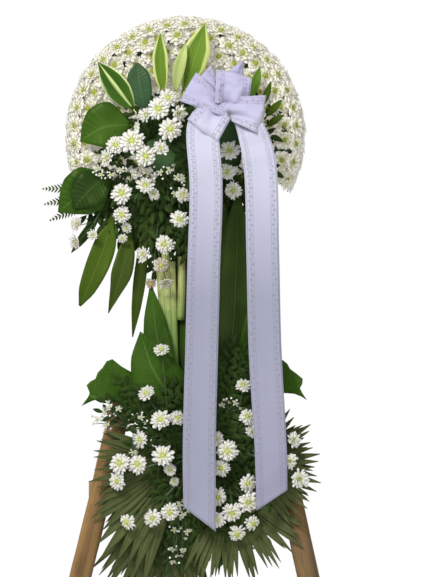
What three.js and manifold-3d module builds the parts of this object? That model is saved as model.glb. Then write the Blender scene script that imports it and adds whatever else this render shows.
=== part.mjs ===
// Funeral wreath on a wooden stand, in millimetres.
// +Z is up, the front faces -Y, and the origin is under the middle of the feet on the floor.
// A half-moon pad of white mums is the head. A ribbon bow with two long tails hangs in front of it,
// and a second bunch with fan leaves sits low on the stand.
import * as THREE from "three";
import { mergeVertices } from "three/addons/utils/BufferGeometryUtils.js";
import Module from "manifold-3d";

// Driving dimensions
const footSpread = 350; // from the middle to each front foot, sideways
const footReach = 360; // from the middle to the feet, front and back
const legTop = 745; // height of the front leg ends
const legRadius = 29;
const mastTop = 1490;
const mastRadius = 17;
const gap = 0.4; // air between pieces that touch

const headX = -20;
const headZ = 1390; // centre of the head's round edge
const headRadius = 277; // pad only, without the mums
const headCut = 1268; // height of the pad's straight lower edge
const boardBack = -100;
const boardThick = 12;
const padThick = 78;
const padFront = boardBack - boardThick - gap - padThick;
const mumSpacing = 58;
const mumRadius = 29.5;

const ribbonHalf = 41;
const ribbonThick = 1.2;
const bowX = 90;
const bowZ = 1467;
const bowY = -306;

const bladeThick = 1.2;
const blockLeft = -80;
const blockRight = 120;
const blockLow = 520;
const blockHigh = 650;
const blockBack = -182;
const blockFront = -262;

// Materials
const paint = (color, roughness) => new THREE.MeshStandardMaterial({ color, roughness, metalness: 0 });
const petalWhite = paint(0xf4f2ee, 0.7);
const leafGreen = paint(0x2c5a28, 0.55);
const darkGreen = paint(0x1e4423, 0.5);
const stripedGreen = paint(0x9fb64a, 0.5);
const stalkGreen = paint(0xb9c48a, 0.6);
const ribbonSatin = paint(0xcfcbe4, 0.35);
const poleWood = paint(0xb98a56, 0.7);
const darkWood = paint(0x5a3222, 0.6);
const boardWood = paint(0x9c7a55, 0.8);
const foamGreen = paint(0x47663d, 0.9);

const wasm = await Module();
wasm.setup();

// Seeded random numbers, so that each run gives the same flowers.
let seed = 41;
function random() {
  seed = (seed * 16807) % 2147483647;
  return seed / 2147483647;
}
const between = (low, high) => low + (high - low) * random();
const point = (x, y, z) => new THREE.Vector3(x, y, z);

// A closed geometry as a solid for cuts and joins, turned so that its faces look outwards.
function solid(geometry) {
  const loose = geometry.index ? geometry.toNonIndexed() : geometry.clone();
  loose.deleteAttribute("normal");
  loose.deleteAttribute("uv");
  const merged = mergeVertices(loose, 1e-3);
  const corners = [];
  const index = merged.index.array;
  for (let i = 0; i < index.length; i += 3) {
    const [a, b, c] = [index[i], index[i + 1], index[i + 2]];
    if (a !== b && b !== c && c !== a) corners.push(a, b, c);
  }
  const build = (list) => new wasm.Manifold(new wasm.Mesh({
    numProp: 3,
    vertProperties: merged.attributes.position.array,
    triVerts: new Uint32Array(list),
  }));
  const made = build(corners);
  if (made.volume() > 0) return made;
  for (let i = 0; i < corners.length; i += 3) {
    [corners[i + 1], corners[i + 2]] = [corners[i + 2], corners[i + 1]];
  }
  return build(corners);
}

function join(solids) {
  return solids.reduce((whole, next) => whole.add(next));
}

function geometryOf(shape) {
  const mesh = shape.getMesh();
  const geometry = new THREE.BufferGeometry();
  geometry.setAttribute("position", new THREE.BufferAttribute(mesh.vertProperties, 3));
  geometry.setIndex(new THREE.BufferAttribute(mesh.triVerts, 1));
  return geometry;
}

const wreath = new THREE.Group();
const placed = [];

function addNode(name, shape, material) {
  placed.push(shape);
  const geometry = geometryOf(shape).toNonIndexed();
  geometry.computeVertexNormals();
  const mesh = new THREE.Mesh(geometry, material);
  mesh.name = name;
  wreath.add(mesh);
}

// A straight stem or pole between two points, with a few sides.
function rod(from, to, radiusFrom, radiusTo, sides) {
  const along = to.clone().sub(from);
  const geometry = new THREE.CylinderGeometry(radiusTo, radiusFrom, along.length(), sides);
  const turn = new THREE.Quaternion().setFromUnitVectors(point(0, 1, 0), along.clone().normalize());
  geometry.applyQuaternion(turn);
  geometry.translate(...from.clone().add(to).multiplyScalar(0.5).toArray());
  return solid(geometry);
}

function box(low, high) {
  const geometry = new THREE.BoxGeometry(high.x - low.x, high.y - low.y, high.z - low.z);
  geometry.translate((low.x + high.x) / 2, (low.y + high.y) / 2, (low.z + high.z) / 2);
  return solid(geometry);
}

// A mum: a lathed form whose rings go in and out, so that outer and inner petals alternate.
// Its underside narrows to a three-sided stem that ends at the root point.
function mum(centre, facing, radius, petals, root, layers = 2) {
  const neck = 3;
  const profile = [
    new THREE.Vector2(0, -radius * 2),
    new THREE.Vector2(neck, -radius * 0.3),
    new THREE.Vector2(radius, 0),
    new THREE.Vector2(radius * 0.6, radius * 0.3),
    new THREE.Vector2(0, radius * 0.2),
  ];
  if (layers === 1) profile.splice(3, 1);
  const geometry = new THREE.LatheGeometry(profile, petals * 2);
  const place = geometry.attributes.position;
  const spin = between(0, Math.PI);
  const turn = new THREE.Quaternion().setFromUnitVectors(point(0, 1, 0), facing.clone().normalize());
  const third = (2 * Math.PI) / 3;
  for (let i = 0; i < place.count; i += 1) {
    const ring = Math.hypot(place.getX(i), place.getZ(i));
    let angle = Math.atan2(place.getZ(i), place.getX(i));
    const step = Math.round((angle / Math.PI) * petals) + petals * 2;
    const outer = ring > radius * 0.8;
    const tip = (step % 2 === 0) === outer;
    let length = outer ? (tip ? 1.06 : 0.66) : (tip ? 1.2 : 0.7);
    let lift = outer ? (tip ? 0.02 : -0.06) : (tip ? 0.06 : -0.08);
    if (ring < neck + 0.01) {
      angle = Math.round((((step % (petals * 2)) + 0.25) * Math.PI) / petals / third) * third;
      length = 1;
      lift = 0;
    }
    const height = place.getY(i) + lift * radius;
    const spot = point(Math.cos(angle + spin) * ring * length, height, Math.sin(angle + spin) * ring * length);
    spot.applyQuaternion(turn).add(centre);
    if (place.getY(i) < -radius) spot.copy(root);
    place.setXYZ(i, spot.x, spot.y, spot.z);
  }
  return solid(geometry);
}

// A blade along a spine: three points across, folded at the rib, with waved edges.
// The widths are half widths at equal steps along the spine.
function blade(spinePoints, widths, options = {}) {
  const { rows = 5, fold = 0.2, wave = 0, slant = 0, facing = point(0, -1, 0), thick = bladeThick } = options;
  const spine = new THREE.CatmullRomCurve3(spinePoints);
  const geometry = new THREE.BoxGeometry(1, 1, 1, 2, rows, 1);
  const place = geometry.attributes.position;
  for (let i = 0; i < place.count; i += 1) {
    const across = place.getX(i) * 2;
    const along = place.getY(i) + 0.5;
    const layer = place.getZ(i);
    const middle = spine.getPoint(along);
    const tangent = spine.getTangent(along);
    const side = tangent.clone().cross(facing).normalize();
    const out = side.clone().cross(tangent).normalize();
    const reach = along * (widths.length - 1);
    const low = Math.min(Math.floor(reach), widths.length - 2);
    const half = widths[low] + (widths[low + 1] - widths[low]) * (reach - low);
    const ripple = wave * Math.abs(across) * Math.sin(along * 14 + across * 2);
    const place3 = middle.addScaledVector(side, across * half);
    place3.addScaledVector(out, Math.abs(across) * half * fold + ripple + layer * thick);
    place3.addScaledVector(tangent, slant * across * along ** 6);
    place.setXYZ(i, place3.x, place3.y, place3.z);
  }
  return solid(geometry);
}

// A fan leaf: a disc whose edge goes from notch to shoulder to tip and back, pleated between.
function fan(hub, fromAngle, toAngle, fingers, reach, options = {}) {
  const { forward = 50, pleat = 5, squareness = 0 } = options;
  const count = fingers * 4 + 2;
  const geometry = new THREE.CylinderGeometry(1, 1, 1, count, 1);
  const place = geometry.attributes.position;
  const radians = Math.PI / 180;
  for (let i = 0; i < place.count; i += 1) {
    const layer = place.getY(i) * bladeThick;
    const ring = Math.hypot(place.getX(i), place.getZ(i));
    if (ring < 0.5) {
      place.setXYZ(i, hub.x, hub.y - layer - pleat, hub.z);
      continue;
    }
    const turn = Math.atan2(place.getX(i), place.getZ(i)) / (2 * Math.PI);
    const step = Math.round((turn < -1e-9 ? turn + 1 : turn) * count) % count;
    const last = step === count - 1;
    const share = last ? 0.5 : step / (count - 2);
    let angle = fromAngle + (toAngle - fromAngle) * share;
    const kind = step % 4;
    const uneven = 1 + 0.07 * Math.sin(step * 2.4) + squareness * Math.cos(share * Math.PI * 4);
    let length = reach * uneven * [0.74, 0.88, 1, 0.88][kind];
    let ridge = [-pleat, 0, pleat, 0][kind];
    if (kind === 0) length = reach * 0.74;
    if (last) {
      angle += 180;
      length = 9;
      ridge = 0;
    }
    const x = hub.x + Math.cos(angle * radians) * length;
    const z = hub.z + Math.sin(angle * radians) * length;
    const bend = forward * (length / reach) ** 1.2;
    place.setXYZ(i, x, hub.y - layer - ridge - (last ? 0 : bend), z);
  }
  return solid(geometry);
}

// A flat outline pressed to a thin blade, then arched towards the front.
function cutBlade(outline, place, options = {}) {
  const { arch = 0.0015, thick = bladeThick, turn = 0, lean = 0 } = options;
  const shape = new THREE.Shape(outline.map(([x, z]) => new THREE.Vector2(x, z)));
  const geometry = new THREE.ExtrudeGeometry(shape, { depth: thick, bevelEnabled: false });
  const position = geometry.attributes.position;
  for (let i = 0; i < position.count; i += 1) {
    const reach = Math.abs(position.getX(i));
    position.setZ(i, position.getZ(i) + arch * reach ** 2 + lean * reach);
  }
  geometry.rotateZ(turn);
  geometry.rotateX(Math.PI / 2);
  geometry.translate(place.x, place.y, place.z);
  return solid(geometry);
}

// The stand: two short front legs, a thin mast that leans back and carries the head,
// and a back leg under the mast. The feet are cut flat at the floor.
const mastX = -24;
const mastEnds = [point(mastX, -175, 466), point(mastX, -53, mastTop)];
const legEnds = [
  [point(-footSpread, -footReach + legRadius, 0), point(-173, -214, legTop)],
  [point(footSpread, -footReach + legRadius, 0), point(185, -214, legTop)],
  [point(-30, footReach - legRadius, 0), point(mastX, -70.6, 1000)],
];
function leg(foot, top) {
  const down = foot.clone().addScaledVector(top.clone().sub(foot), -0.08);
  const round = rod(down, top, legRadius, legRadius - 2, 14);
  return round.subtract(box(point(-600, -600, -200), point(600, 600, 0)));
}
const mastHole = rod(...mastEnds, mastRadius + gap, mastRadius + gap, 12);
addNode("LegLeft", leg(...legEnds[0]), poleWood);
addNode("LegRight", leg(...legEnds[1]), poleWood);
addNode("LegBack", leg(...legEnds[2]).subtract(mastHole), poleWood);
addNode("Mast", rod(...mastEnds, mastRadius, mastRadius, 12), darkWood);

// Stalks stand in plain holes in the foam. Each hole is a rod a little wider than its stalk.
const holes = [];
function stalk(root, exit, radius) {
  const beyond = exit.clone().addScaledVector(exit.clone().sub(root).normalize(), 30);
  const before = root.clone().addScaledVector(root.clone().sub(exit).normalize(), 1);
  holes.push(rod(before, beyond, radius + 0.8, radius + 0.8, 4));
  return rod(root, exit, radius, radius, 4);
}

// The ribbon: a bow of six loops round a knot, and two tails.
// A loop is a soft wedge, thin at the knot and round at its far end.
function bowLoop(angle, length, half, puff, forward) {
  const geometry = new THREE.BoxGeometry(1, 1, 1, 2, 3, 1);
  const place = geometry.attributes.position;
  const radians = (angle * Math.PI) / 180;
  const out = point(Math.cos(radians), -forward, Math.sin(radians)).normalize();
  const side = point(-Math.sin(radians), 0, Math.cos(radians));
  const front = out.clone().cross(side).normalize();
  for (let i = 0; i < place.count; i += 1) {
    const across = place.getX(i) * 2;
    const along = place.getY(i) + 0.5;
    const layer = place.getZ(i) * 2;
    const swell = Math.sin(Math.min(along * 1.12, 1) * Math.PI * 0.62);
    const end = along > 0.8 ? 0.72 : 1;
    const width = 12 + (half - 12) * Math.min(along * 1.5, 1);
    const spot = point(bowX, bowY, bowZ);
    spot.addScaledVector(out, along * length * (1 - 0.08 * Math.abs(across)));
    spot.addScaledVector(side, across * width);
    spot.addScaledVector(front, layer * (6 + puff * swell) * end * (1 - 0.25 * Math.abs(across)));
    place.setXYZ(i, spot.x, spot.y, spot.z);
  }
  return solid(geometry);
}

// The knot sits on a thin pick that goes into the foam of the head.
function bow() {
  const knot = solid(new THREE.SphereGeometry(1, 7, 5).scale(25, 25, 23).translate(bowX, bowY, bowZ));
  const pick = stalk(point(bowX, padFront + 25, bowZ), point(bowX, bowY + 8, bowZ), 3);
  const loops = [
    bowLoop(140, 106, 40, 17, 0.05),
    bowLoop(182, 112, 40, 17, -0.1),
    bowLoop(232, 100, 38, 15, 0.15),
    bowLoop(84, 96, 32, 15, -0.05),
    bowLoop(40, 92, 34, 15, 0.1),
    bowLoop(-32, 106, 40, 17, 0),
  ];
  return join([knot, pick, ...loops]);
}
addNode("RibbonBow", bow(), ribbonSatin);

const tailShape = { rows: 10, fold: 0.06, thick: ribbonThick, wave: 0 };
const leftTail = blade(
  [point(70, -332.5, 1446), point(38, -342, 1378), point(24, -334, 1180), point(21, -336, 880),
    point(14, -350, 620), point(11, -352, 430)],
  [20, ribbonHalf, ribbonHalf, ribbonHalf, ribbonHalf, ribbonHalf, ribbonHalf - 3],
  { ...tailShape, slant: -31 },
);
const rightTail = blade(
  [point(110, -322.8, 1446), point(148, -338, 1378), point(172, -334, 1240), point(184, -336, 880),
    point(196, -350, 640), point(199, -352, 477)],
  [20, ribbonHalf, ribbonHalf, ribbonHalf, ribbonHalf, ribbonHalf, ribbonHalf - 3],
  { ...tailShape, slant: 25 },
);
addNode("RibbonTailLeft", leftTail, ribbonSatin);
addNode("RibbonTailRight", rightTail, ribbonSatin);

// Sprays: each is a bunch of mums whose stems meet at a hub and go on to a root in the foam.
// A bloom is [x, y, z, diameter] with, where it looks aside, the direction it faces.
function spray(hub, root, blooms) {
  const beyond = hub.clone().addScaledVector(hub.clone().sub(root).normalize(), 6);
  const parts = [stalk(root, beyond, 3.4)];
  for (const [x, y, z, size, facing] of blooms) {
    const centre = point(x, y, z);
    const away = centre.clone().sub(hub);
    const look = facing ? point(...facing) : point(away.x * 0.006, -1, away.z * 0.006 + 0.12);
    parts.push(mum(centre, look, size / 2, 6, hub));
  }
  return join(parts);
}

const upperSprays = {
  MumSprayTop: [[-68, -240, 1425], [-55, padFront + 25, 1410], [
    [-85, -292, 1452, 60], [-62, -276, 1480, 50], [-38, -284, 1442, 50, [0.7, -1, 0]],
    [-56, -302, 1402, 60], [-116, -272, 1438, 45, [-0.8, -1, 0.2]]]],
  MumSprayLeft: [[-140, -246, 1340], [-110, padFront + 25, 1345], [
    [-152, -296, 1372, 64], [-192, -280, 1362, 50], [-118, -300, 1334, 56],
    [-82, -292, 1353, 46, [0.3, -1, 0.3]], [-212, -272, 1330, 50, [-0.9, -1, 0.1]]]],
  MumSprayLower: [[-146, -232, 1225], [-120, padFront + 25, 1285], [
    [-178, -284, 1242, 56], [-120, -274, 1262, 46], [-98, -262, 1240, 32],
    [-178, -278, 1188, 46], [-166, -262, 1156, 28], [-176, -256, 1130, 26]]],
  MumSprayInner: [[-34, -236, 1212], [-30, padFront + 25, 1285], [
    [-34, -282, 1178, 46], [-26, -270, 1238, 40]]],
  MumSprayOuter: [[-246, -236, 1172], [-190, padFront + 25, 1290], [
    [-286, -262, 1164, 46, [-1, -0.8, 0.2]], [-290, -256, 1122, 46, [-1, -0.7, -0.2]],
    [-250, -254, 1138, 32, [-0.4, -1, 0]]]],
  MumSprayDrooping: [[-92, -226, 1120], [-80, padFront + 25, 1285], [
    [-72, -272, 1114, 50], [-122, -262, 1088, 46, [-0.8, -1, 0.1]], [-80, -262, 1062, 44],
    [-68, -256, 1022, 44, [0.1, -0.7, -0.8]], [-106, -250, 1016, 34, [-0.2, -0.8, -0.7]]]],
  MumSprayBetweenTails: [[92, -222, 1290], [90, padFront + 25, 1320], [
    [90, -262, 1348, 56], [86, -262, 1296, 44], [100, -258, 1250, 46]]],
};

const blockHub = (x, z) => [x, blockFront - 8, z];
const lowerSprays = {
  MumSprayLowBack: [[-58, -278, 640], [-40, blockFront + 30, 626], [
    [-80, -302, 676, 52], [-38, -296, 680, 42], [-132, -300, 626, 44], [-116, -300, 742, 44],
    [-78, -298, 850, 46]]],
  MumSprayLowMiddle: [[-40, -292, 566], [-16, blockFront + 20, 578], [
    [-74, -322, 587, 56], [-56, -312, 552, 34], [-46, -300, 522, 26]]],
  MumSprayLowLeft: [[-112, -316, 560], [10, blockFront + 14, 592], [
    [-182, -318, 568, 56], [-138, -322, 566, 50], [-188, -312, 524, 46]]],
  MumSprayLowUpperRight: [blockHub(104, 640), [90, blockFront + 30, 620], [
    [126, -302, 762, 42], [136, -302, 684, 44], [152, -298, 648, 42]]],
  MumSprayLowCentre: [blockHub(70, 590), [60, blockFront + 30, 590], [
    [86, -324, 598, 56], [70, -316, 556, 46], [56, -312, 628, 46]]],
  MumSprayLowFront: [blockHub(90, 530), [80, blockFront + 30, 545], [
    [62, -322, 484, 50], [137, -326, 472, 56], [137, -316, 518, 46], [98, -330, 446, 52],
    [58, -324, 430, 50], [110, -316, 392, 52, [0.1, -1, -0.6]], [150, -318, 418, 46, [0.6, -1, -0.4]]]],
  MumSprayLowDrooping: [[-64, -308, 490], [6, blockFront + 16, 560], [
    [-164, -322, 422, 48, [-0.6, -1, -0.3]], [-100, -322, 432, 46], [-58, -324, 446, 48]]],
  MumSprayLowRight: [[180, -316, 580], [102, blockFront + 16, 598], [
    [248, -328, 626, 46, [0.7, -1, 0.2]], [262, -331, 530, 58, [0.6, -1, -0.1]],
    [240, -334, 574, 46, [0.5, -1, 0]]]],
};

for (const [name, [hub, root, blooms]] of Object.entries({ ...upperSprays, ...lowerSprays })) {
  addNode(name, spray(point(...hub), point(...root), blooms), petalWhite);
}

// Filler florets: small four-petalled stars on thin stems from a common root.
function floretSpray(hub, root, spots) {
  const beyond = hub.clone().addScaledVector(hub.clone().sub(root).normalize(), 5);
  const parts = [stalk(root, beyond, 3)];
  for (const [x, y, z] of spots) {
    const look = point((x - hub.x) * 0.01, -1, (z - hub.z) * 0.01 + 0.2);
    parts.push(mum(point(x, y, z), look, 9.5, 4, hub, 1));
  }
  return join(parts);
}

const floretSprays = {
  FloretSprayUpperLeft: [[-170, -225, 1300], [-150, padFront + 20, 1310], [
    [-236, -268, 1305], [-229, -270, 1288], [-205, -272, 1288], [-180, -276, 1300], [-150, -282, 1293]]],
  FloretSprayUpperRight: [[-70, -224, 1290], [-60, padFront + 20, 1310], [
    [-118, -268, 1296], [-82, -278, 1294], [-60, -276, 1300], [-40, -272, 1283], [-27, -270, 1275],
    [-46, -262, 1242]]],
  FloretSprayLowTop: [blockHub(40, 655), [40, blockFront + 25, 640], [
    [72, -298, 712], [105, -296, 716], [14, -292, 700]]],
  FloretSprayLowLeft: [[-150, -290, 655], [-66, blockFront + 25, 642], [
    [-130, -306, 682], [-220, -306, 692], [-208, -310, 706], [-184, -306, 702], [-238, -302, 676],
    [-214, -304, 664], [-150, -316, 596]]],
  FloretSprayLowBottom: [[-26, -292, 470], [0, blockFront + 20, 536], [
    [-25, -300, 352], [-52, -298, 354], [-50, -300, 322], [-15, -302, 396], [-46, -300, 402],
    [-34, -304, 464], [-24, -306, 440]]],
};
for (const [name, [hub, root, spots]] of Object.entries(floretSprays)) {
  addNode(name, floretSpray(point(...hub), point(...root), spots), petalWhite);
}

// Leaves round the head. Each is [spine points, half widths along it, material, options].
const headLeaves = {
  PaleStrapLeaf: [
    [[-66, padFront + 20, 1440], [-76, -226, 1500], [-82, -238, 1570], [-82, -238, 1645]],
    [5, 15, 19, 19, 12, 1], stripedGreen, { fold: 0.35 }],
  StripedLeafLeft: [
    [[-112, padFront + 20, 1405], [-150, -226, 1455], [-196, -240, 1515], [-238, -240, 1572]],
    [5, 22, 30, 28, 17, 1], darkGreen, { rows: 6, fold: 0.35 }],
  RoundLeafDark: [
    [[-100, padFront + 20, 1410], [-122, -224, 1455], [-134, -236, 1515], [-140, -232, 1570]],
    [6, 24, 29, 30, 24, 4], darkGreen, { rows: 6, fold: 0.12 }],
  BroadLeafUpper: [
    [[-125, padFront + 20, 1375], [-165, -224, 1398], [-228, -240, 1402], [-284, -238, 1376]],
    [5, 36, 58, 62, 46, 2], darkGreen, { rows: 6, fold: 0.14 }],
  BroadLeafLower: [
    [[-150, padFront + 20, 1300], [-205, -224, 1285], [-275, -240, 1245], [-336, -236, 1196]],
    [5, 38, 58, 60, 42, 2], darkGreen, { rows: 6, fold: 0.14 }],
  SlenderLeafA: [
    [[120, padFront + 20, 1430], [140, -224, 1480], [156, -234, 1520], [168, -234, 1560]],
    [3, 11, 13, 9, 1], leafGreen, { fold: 0.3, rows: 5 }],
  HangingLeafOuter: [
    [[-176, padFront + 20, 1290], [-200, -224, 1190], [-225, -236, 1090], [-280, -240, 960]],
    [4, 10, 24, 28, 24, 8], leafGreen, { fold: 0.25, rows: 7, wave: 1 }],
  HangingLeafMiddle: [
    [[-140, padFront + 20, 1290], [-158, -222, 1180], [-165, -240, 1070], [-212, -250, 942]],
    [4, 9, 24, 30, 17, 1], leafGreen, { fold: 0.25, rows: 7, wave: 1 }],
  HangingLeafInner: [
    [[-112, padFront + 20, 1290], [-118, -214, 1180], [-130, -218, 1060], [-152, -226, 882]],
    [4, 8, 14, 16, 12, 1], leafGreen, { fold: 0.25, rows: 7, wave: 1 }],
  SmallLeafLeft: [
    [[-206, padFront + 20, 1282], [-226, -202, 1212], [-264, -208, 1150], [-306, -216, 1094]],
    [3, 7, 11, 12, 9, 1], darkGreen, { fold: 0.25 }],
};

// Leaves that stand in the lower foam block.
const lowLeaves = {
  TallLeafCentre: [
    [[14, -218, 630], [18, -216, 668], [36, -204, 860], [48, -202, 1080], [60, -212, 1246]],
    [6, 50, 70, 72, 62, 46, 8], darkGreen, { rows: 7, fold: 0.1 }],
  TallLeafRight: [
    [[70, -226, 630], [74, -228, 668], [96, -230, 850], [108, -230, 1040], [112, -236, 1236]],
    [6, 40, 54, 54, 48, 36, 6], darkGreen, { rows: 7, fold: 0.1 }],
  TallLeafOuter: [
    [[96, -240, 630], [102, -242, 668], [130, -246, 760], [150, -244, 880], [158, -240, 1010]],
    [6, 26, 36, 34, 22, 1], leafGreen, { fold: 0.16 }],
  BroadLeafMiddle: [
    [[-36, -244, 630], [-44, -248, 668], [-66, -262, 740], [-104, -272, 810], [-132, -268, 896]],
    [6, 50, 64, 60, 40, 1], darkGreen, { fold: 0.12 }],
  TallLeafShort: [
    [[30, -246, 630], [33, -250, 668], [40, -262, 740], [52, -268, 830], [48, -262, 930]],
    [6, 28, 40, 36, 20, 1], leafGreen, { fold: 0.16 }],
};

// A leaf is a blade with a stalk from its foot to a root in the foam.
function leaf(spine, widths, options) {
  const [root, ...rest] = spine.map((spot) => point(...spot));
  return stalk(root, rest[0], 2.6).add(blade(rest, widths, options));
}
// A narrower leaf stands beside the broad one in the middle, on the same root.
const besideBroad = leaf(
  [[-36, -244, 630], [-46, -240, 668], [-66, -241, 760], [-90, -240, 880], [-104, -238, 1000]],
  [5, 24, 32, 28, 18, 1], { rows: 4, fold: 0.1 });
for (const [name, [spine, widths, material, options]] of Object.entries({ ...headLeaves, ...lowLeaves })) {
  const single = leaf(spine, widths, options);
  addNode(name, name === "BroadLeafMiddle" ? single.add(besideBroad) : single, material);
}

// The tall striped leaf has a folded pale flap beside it, from the same root.
const stripedTall = leaf(
  [[-40, padFront + 20, 1430], [-22, -226, 1500], [6, -244, 1585], [30, -246, 1668]],
  [5, 20, 33, 33, 20, 1], { fold: 0.3 });
const stripedFlap = leaf(
  [[-40, padFront + 20, 1430], [-44, -234, 1500], [-34, -252, 1560], [-17, -262, 1618]],
  [4, 12, 15, 12, 1], { fold: 0.4, rows: 5 });
addNode("StripedLeafTall", stripedTall.add(stripedFlap), stripedGreen);

// Dark leaves hang from the underside of the pad, from one root.
const darkTips = [
  [[-116, -166, 1190], [-154, -166, 1092]],
  [[-74, -148, 1170], [-84, -142, 1058]],
  [[-36, -134, 1180], [-18, -134, 1084]],
];
const darkHanging = darkTips.map((ends) => leaf(
  [[-70, -150, 1292], [-70, -150, 1264], ...ends], [4, 24, 44, 38, 20, 1], { rows: 5, fold: 0.1 }));
addNode("HangingLeavesDark", join(darkHanging), darkGreen);

// Three slender leaves right of the bow grow from one root.
const slenderTips = [
  [[158, padFront + 20, 1400], [174, -222, 1462], [186, -230, 1495], [196, -232, 1524]],
  [[158, padFront + 20, 1400], [186, -222, 1438], [206, -228, 1460], [223, -228, 1478]],
  [[158, padFront + 20, 1400], [188, -222, 1414], [208, -228, 1428], [228, -230, 1440]],
];
const slenderLeaves = slenderTips.map((spine) => leaf(spine, [3, 8, 9, 6, 1], { fold: 0.3, rows: 3 }));
addNode("SlenderLeavesSide", join(slenderLeaves), leafGreen);

// Lobed leaves at both sides of the lower bunch, as outlines from the stalk outwards.
const lobesLeft = [
  [3, 0], [-34, 66], [-89, 131], [-136, 163], [-160, 142], [-178, 114], [-200, 98], [-192, 78],
  [-213, 46], [-168, 64], [-140, 56], [-100, 52], [-62, 30], [-20, 0],
];
const lobesRight = [
  [-3, 0], [20, 84], [66, 148], [113, 161], [132, 138], [163, 114], [156, 90], [174, 60],
  [142, 76], [116, 78], [80, 48], [16, 0],
];
function lobedLeaf(root, foot, outline) {
  return stalk(root, foot, 3.2).add(cutBlade(outline, foot, { arch: 0.0003, lean: 0.12 }));
}
addNode("LobedLeafLeft", lobedLeaf(point(-58, -236, 630), point(-66, -240, 664), lobesLeft), leafGreen);
addNode("LobedLeafRight", lobedLeaf(point(106, -228, 630), point(112, -236, 664), lobesRight), leafGreen);

// Fern tips: leaflets cut to the rib in one thin blade.
function fernOutline(length, reach, pairs) {
  const upper = [];
  const lower = [];
  for (let i = 0; i < pairs; i += 1) {
    const start = length * (0.3 + (0.7 * i) / pairs);
    const half = reach * Math.sin(Math.PI * (0.25 + (0.7 * i) / pairs));
    const step = (length * 0.7) / pairs;
    upper.push([start, 1.4], [start + step * 0.95, half]);
    lower.push([start, -1.4], [start + step * 0.95, -half]);
  }
  return [[0, 1.6], ...upper, [length, 0], ...lower.reverse(), [0, -1.6]];
}
const fernTurns = [3.16, 3.36, 3.58];
const fernFoot = point(-182, -208, 1258);
const ferns = fernTurns.map((turn, i) => cutBlade(fernOutline(200, 17, 6),
  fernFoot.clone().add(point(0, i * 3 - 3, 0)), { turn, arch: 0.0001, lean: 0.03 + i * 0.03 }));
addNode("FernTips", join([stalk(point(-168, padFront + 15, 1284), fernFoot, 4.5), ...ferns]), leafGreen);

// A bundle of pale stalks that stands in the block.
function stalkBundle() {
  const tops = [[-86, -212, 1080], [-70, -222, 1096], [-54, -214, 1072], [-66, -202, 1088]];
  const roots = tops.map((top, i) => point(-56 + i * 6, -212 + (i % 2) * 6, 620));
  holes.push(...roots.map((root) => rod(root.clone().setZ(616), root.clone().setZ(700), 14, 14, 6)));
  return join(tops.map((top, i) => rod(roots[i], point(...top), 10.5, 9.5, 6)));
}
addNode("StalkBundle", stalkBundle(), stalkGreen);

// Fan leaves round the lower bunch, each on a stalk in the block.
const fans = {
  FanLeafLeft: [point(-40, -267, 572), 152, 256, 12, 238, { forward: 38 }, point(-30, -240, 572)],
  FanLeafBottomLeft: [point(-52, -236, 505), 224, 290, 9, 290, { forward: 30 }, point(-40, -222, 550)],
  FanLeafBottomRight: [point(84, -246, 505), 248, 318, 11, 226, { forward: 58 }, point(60, -222, 550)],
  FanLeafRight: [point(136, -256, 562), -56, 54, 11, 178, { forward: 58 }, point(104, -238, 566)],
};
// One leaf hangs below the right fan.
const lowRight = leaf(
  [[136, -256, 562], [136, -252, 548], [142, -262, 510], [144, -275, 470], [140, -286, 436]],
  [4, 18, 27, 27, 20, 1], { rows: 4, fold: 0.1 });
for (const [name, [hub, from, to, fingers, reach, options, root]] of Object.entries(fans)) {
  const petiole = stalk(root, hub.clone().add(point(0, -4, 0)), 4);
  const whole = fan(hub, from, to, fingers, reach, options).add(petiole);
  addNode(name, name === "FanLeafRight" ? whole.add(lowRight) : whole, leafGreen);
}

// The foam block and the wooden parts behind the flowers.
const lowerBlock = box(point(blockLeft, blockFront, blockLow), point(blockRight, blockBack, blockHigh));
const drilled = (foam) => holes.reduce((left, hole) => left.subtract(hole), foam);
addNode("FoamBlockLower", drilled(lowerBlock).subtract(mastHole), foamGreen);

// The half-moon pad with its mums.
function halfMoon(radius, cut) {
  const start = Math.asin((cut - headZ) / radius);
  const shape = new THREE.Shape();
  shape.absarc(0, 0, radius, start, Math.PI - start, false);
  shape.closePath();
  return shape;
}

function pad() {
  const bevel = 16;
  const geometry = new THREE.ExtrudeGeometry(halfMoon(headRadius - bevel, headCut + bevel), {
    depth: padThick - 2 * bevel, bevelEnabled: true, bevelThickness: bevel, bevelSize: bevel,
    bevelSegments: 1, curveSegments: 20,
  });
  geometry.rotateX(Math.PI / 2);
  geometry.translate(headX, boardBack - boardThick - gap - bevel, headZ);
  return solid(geometry);
}

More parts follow.
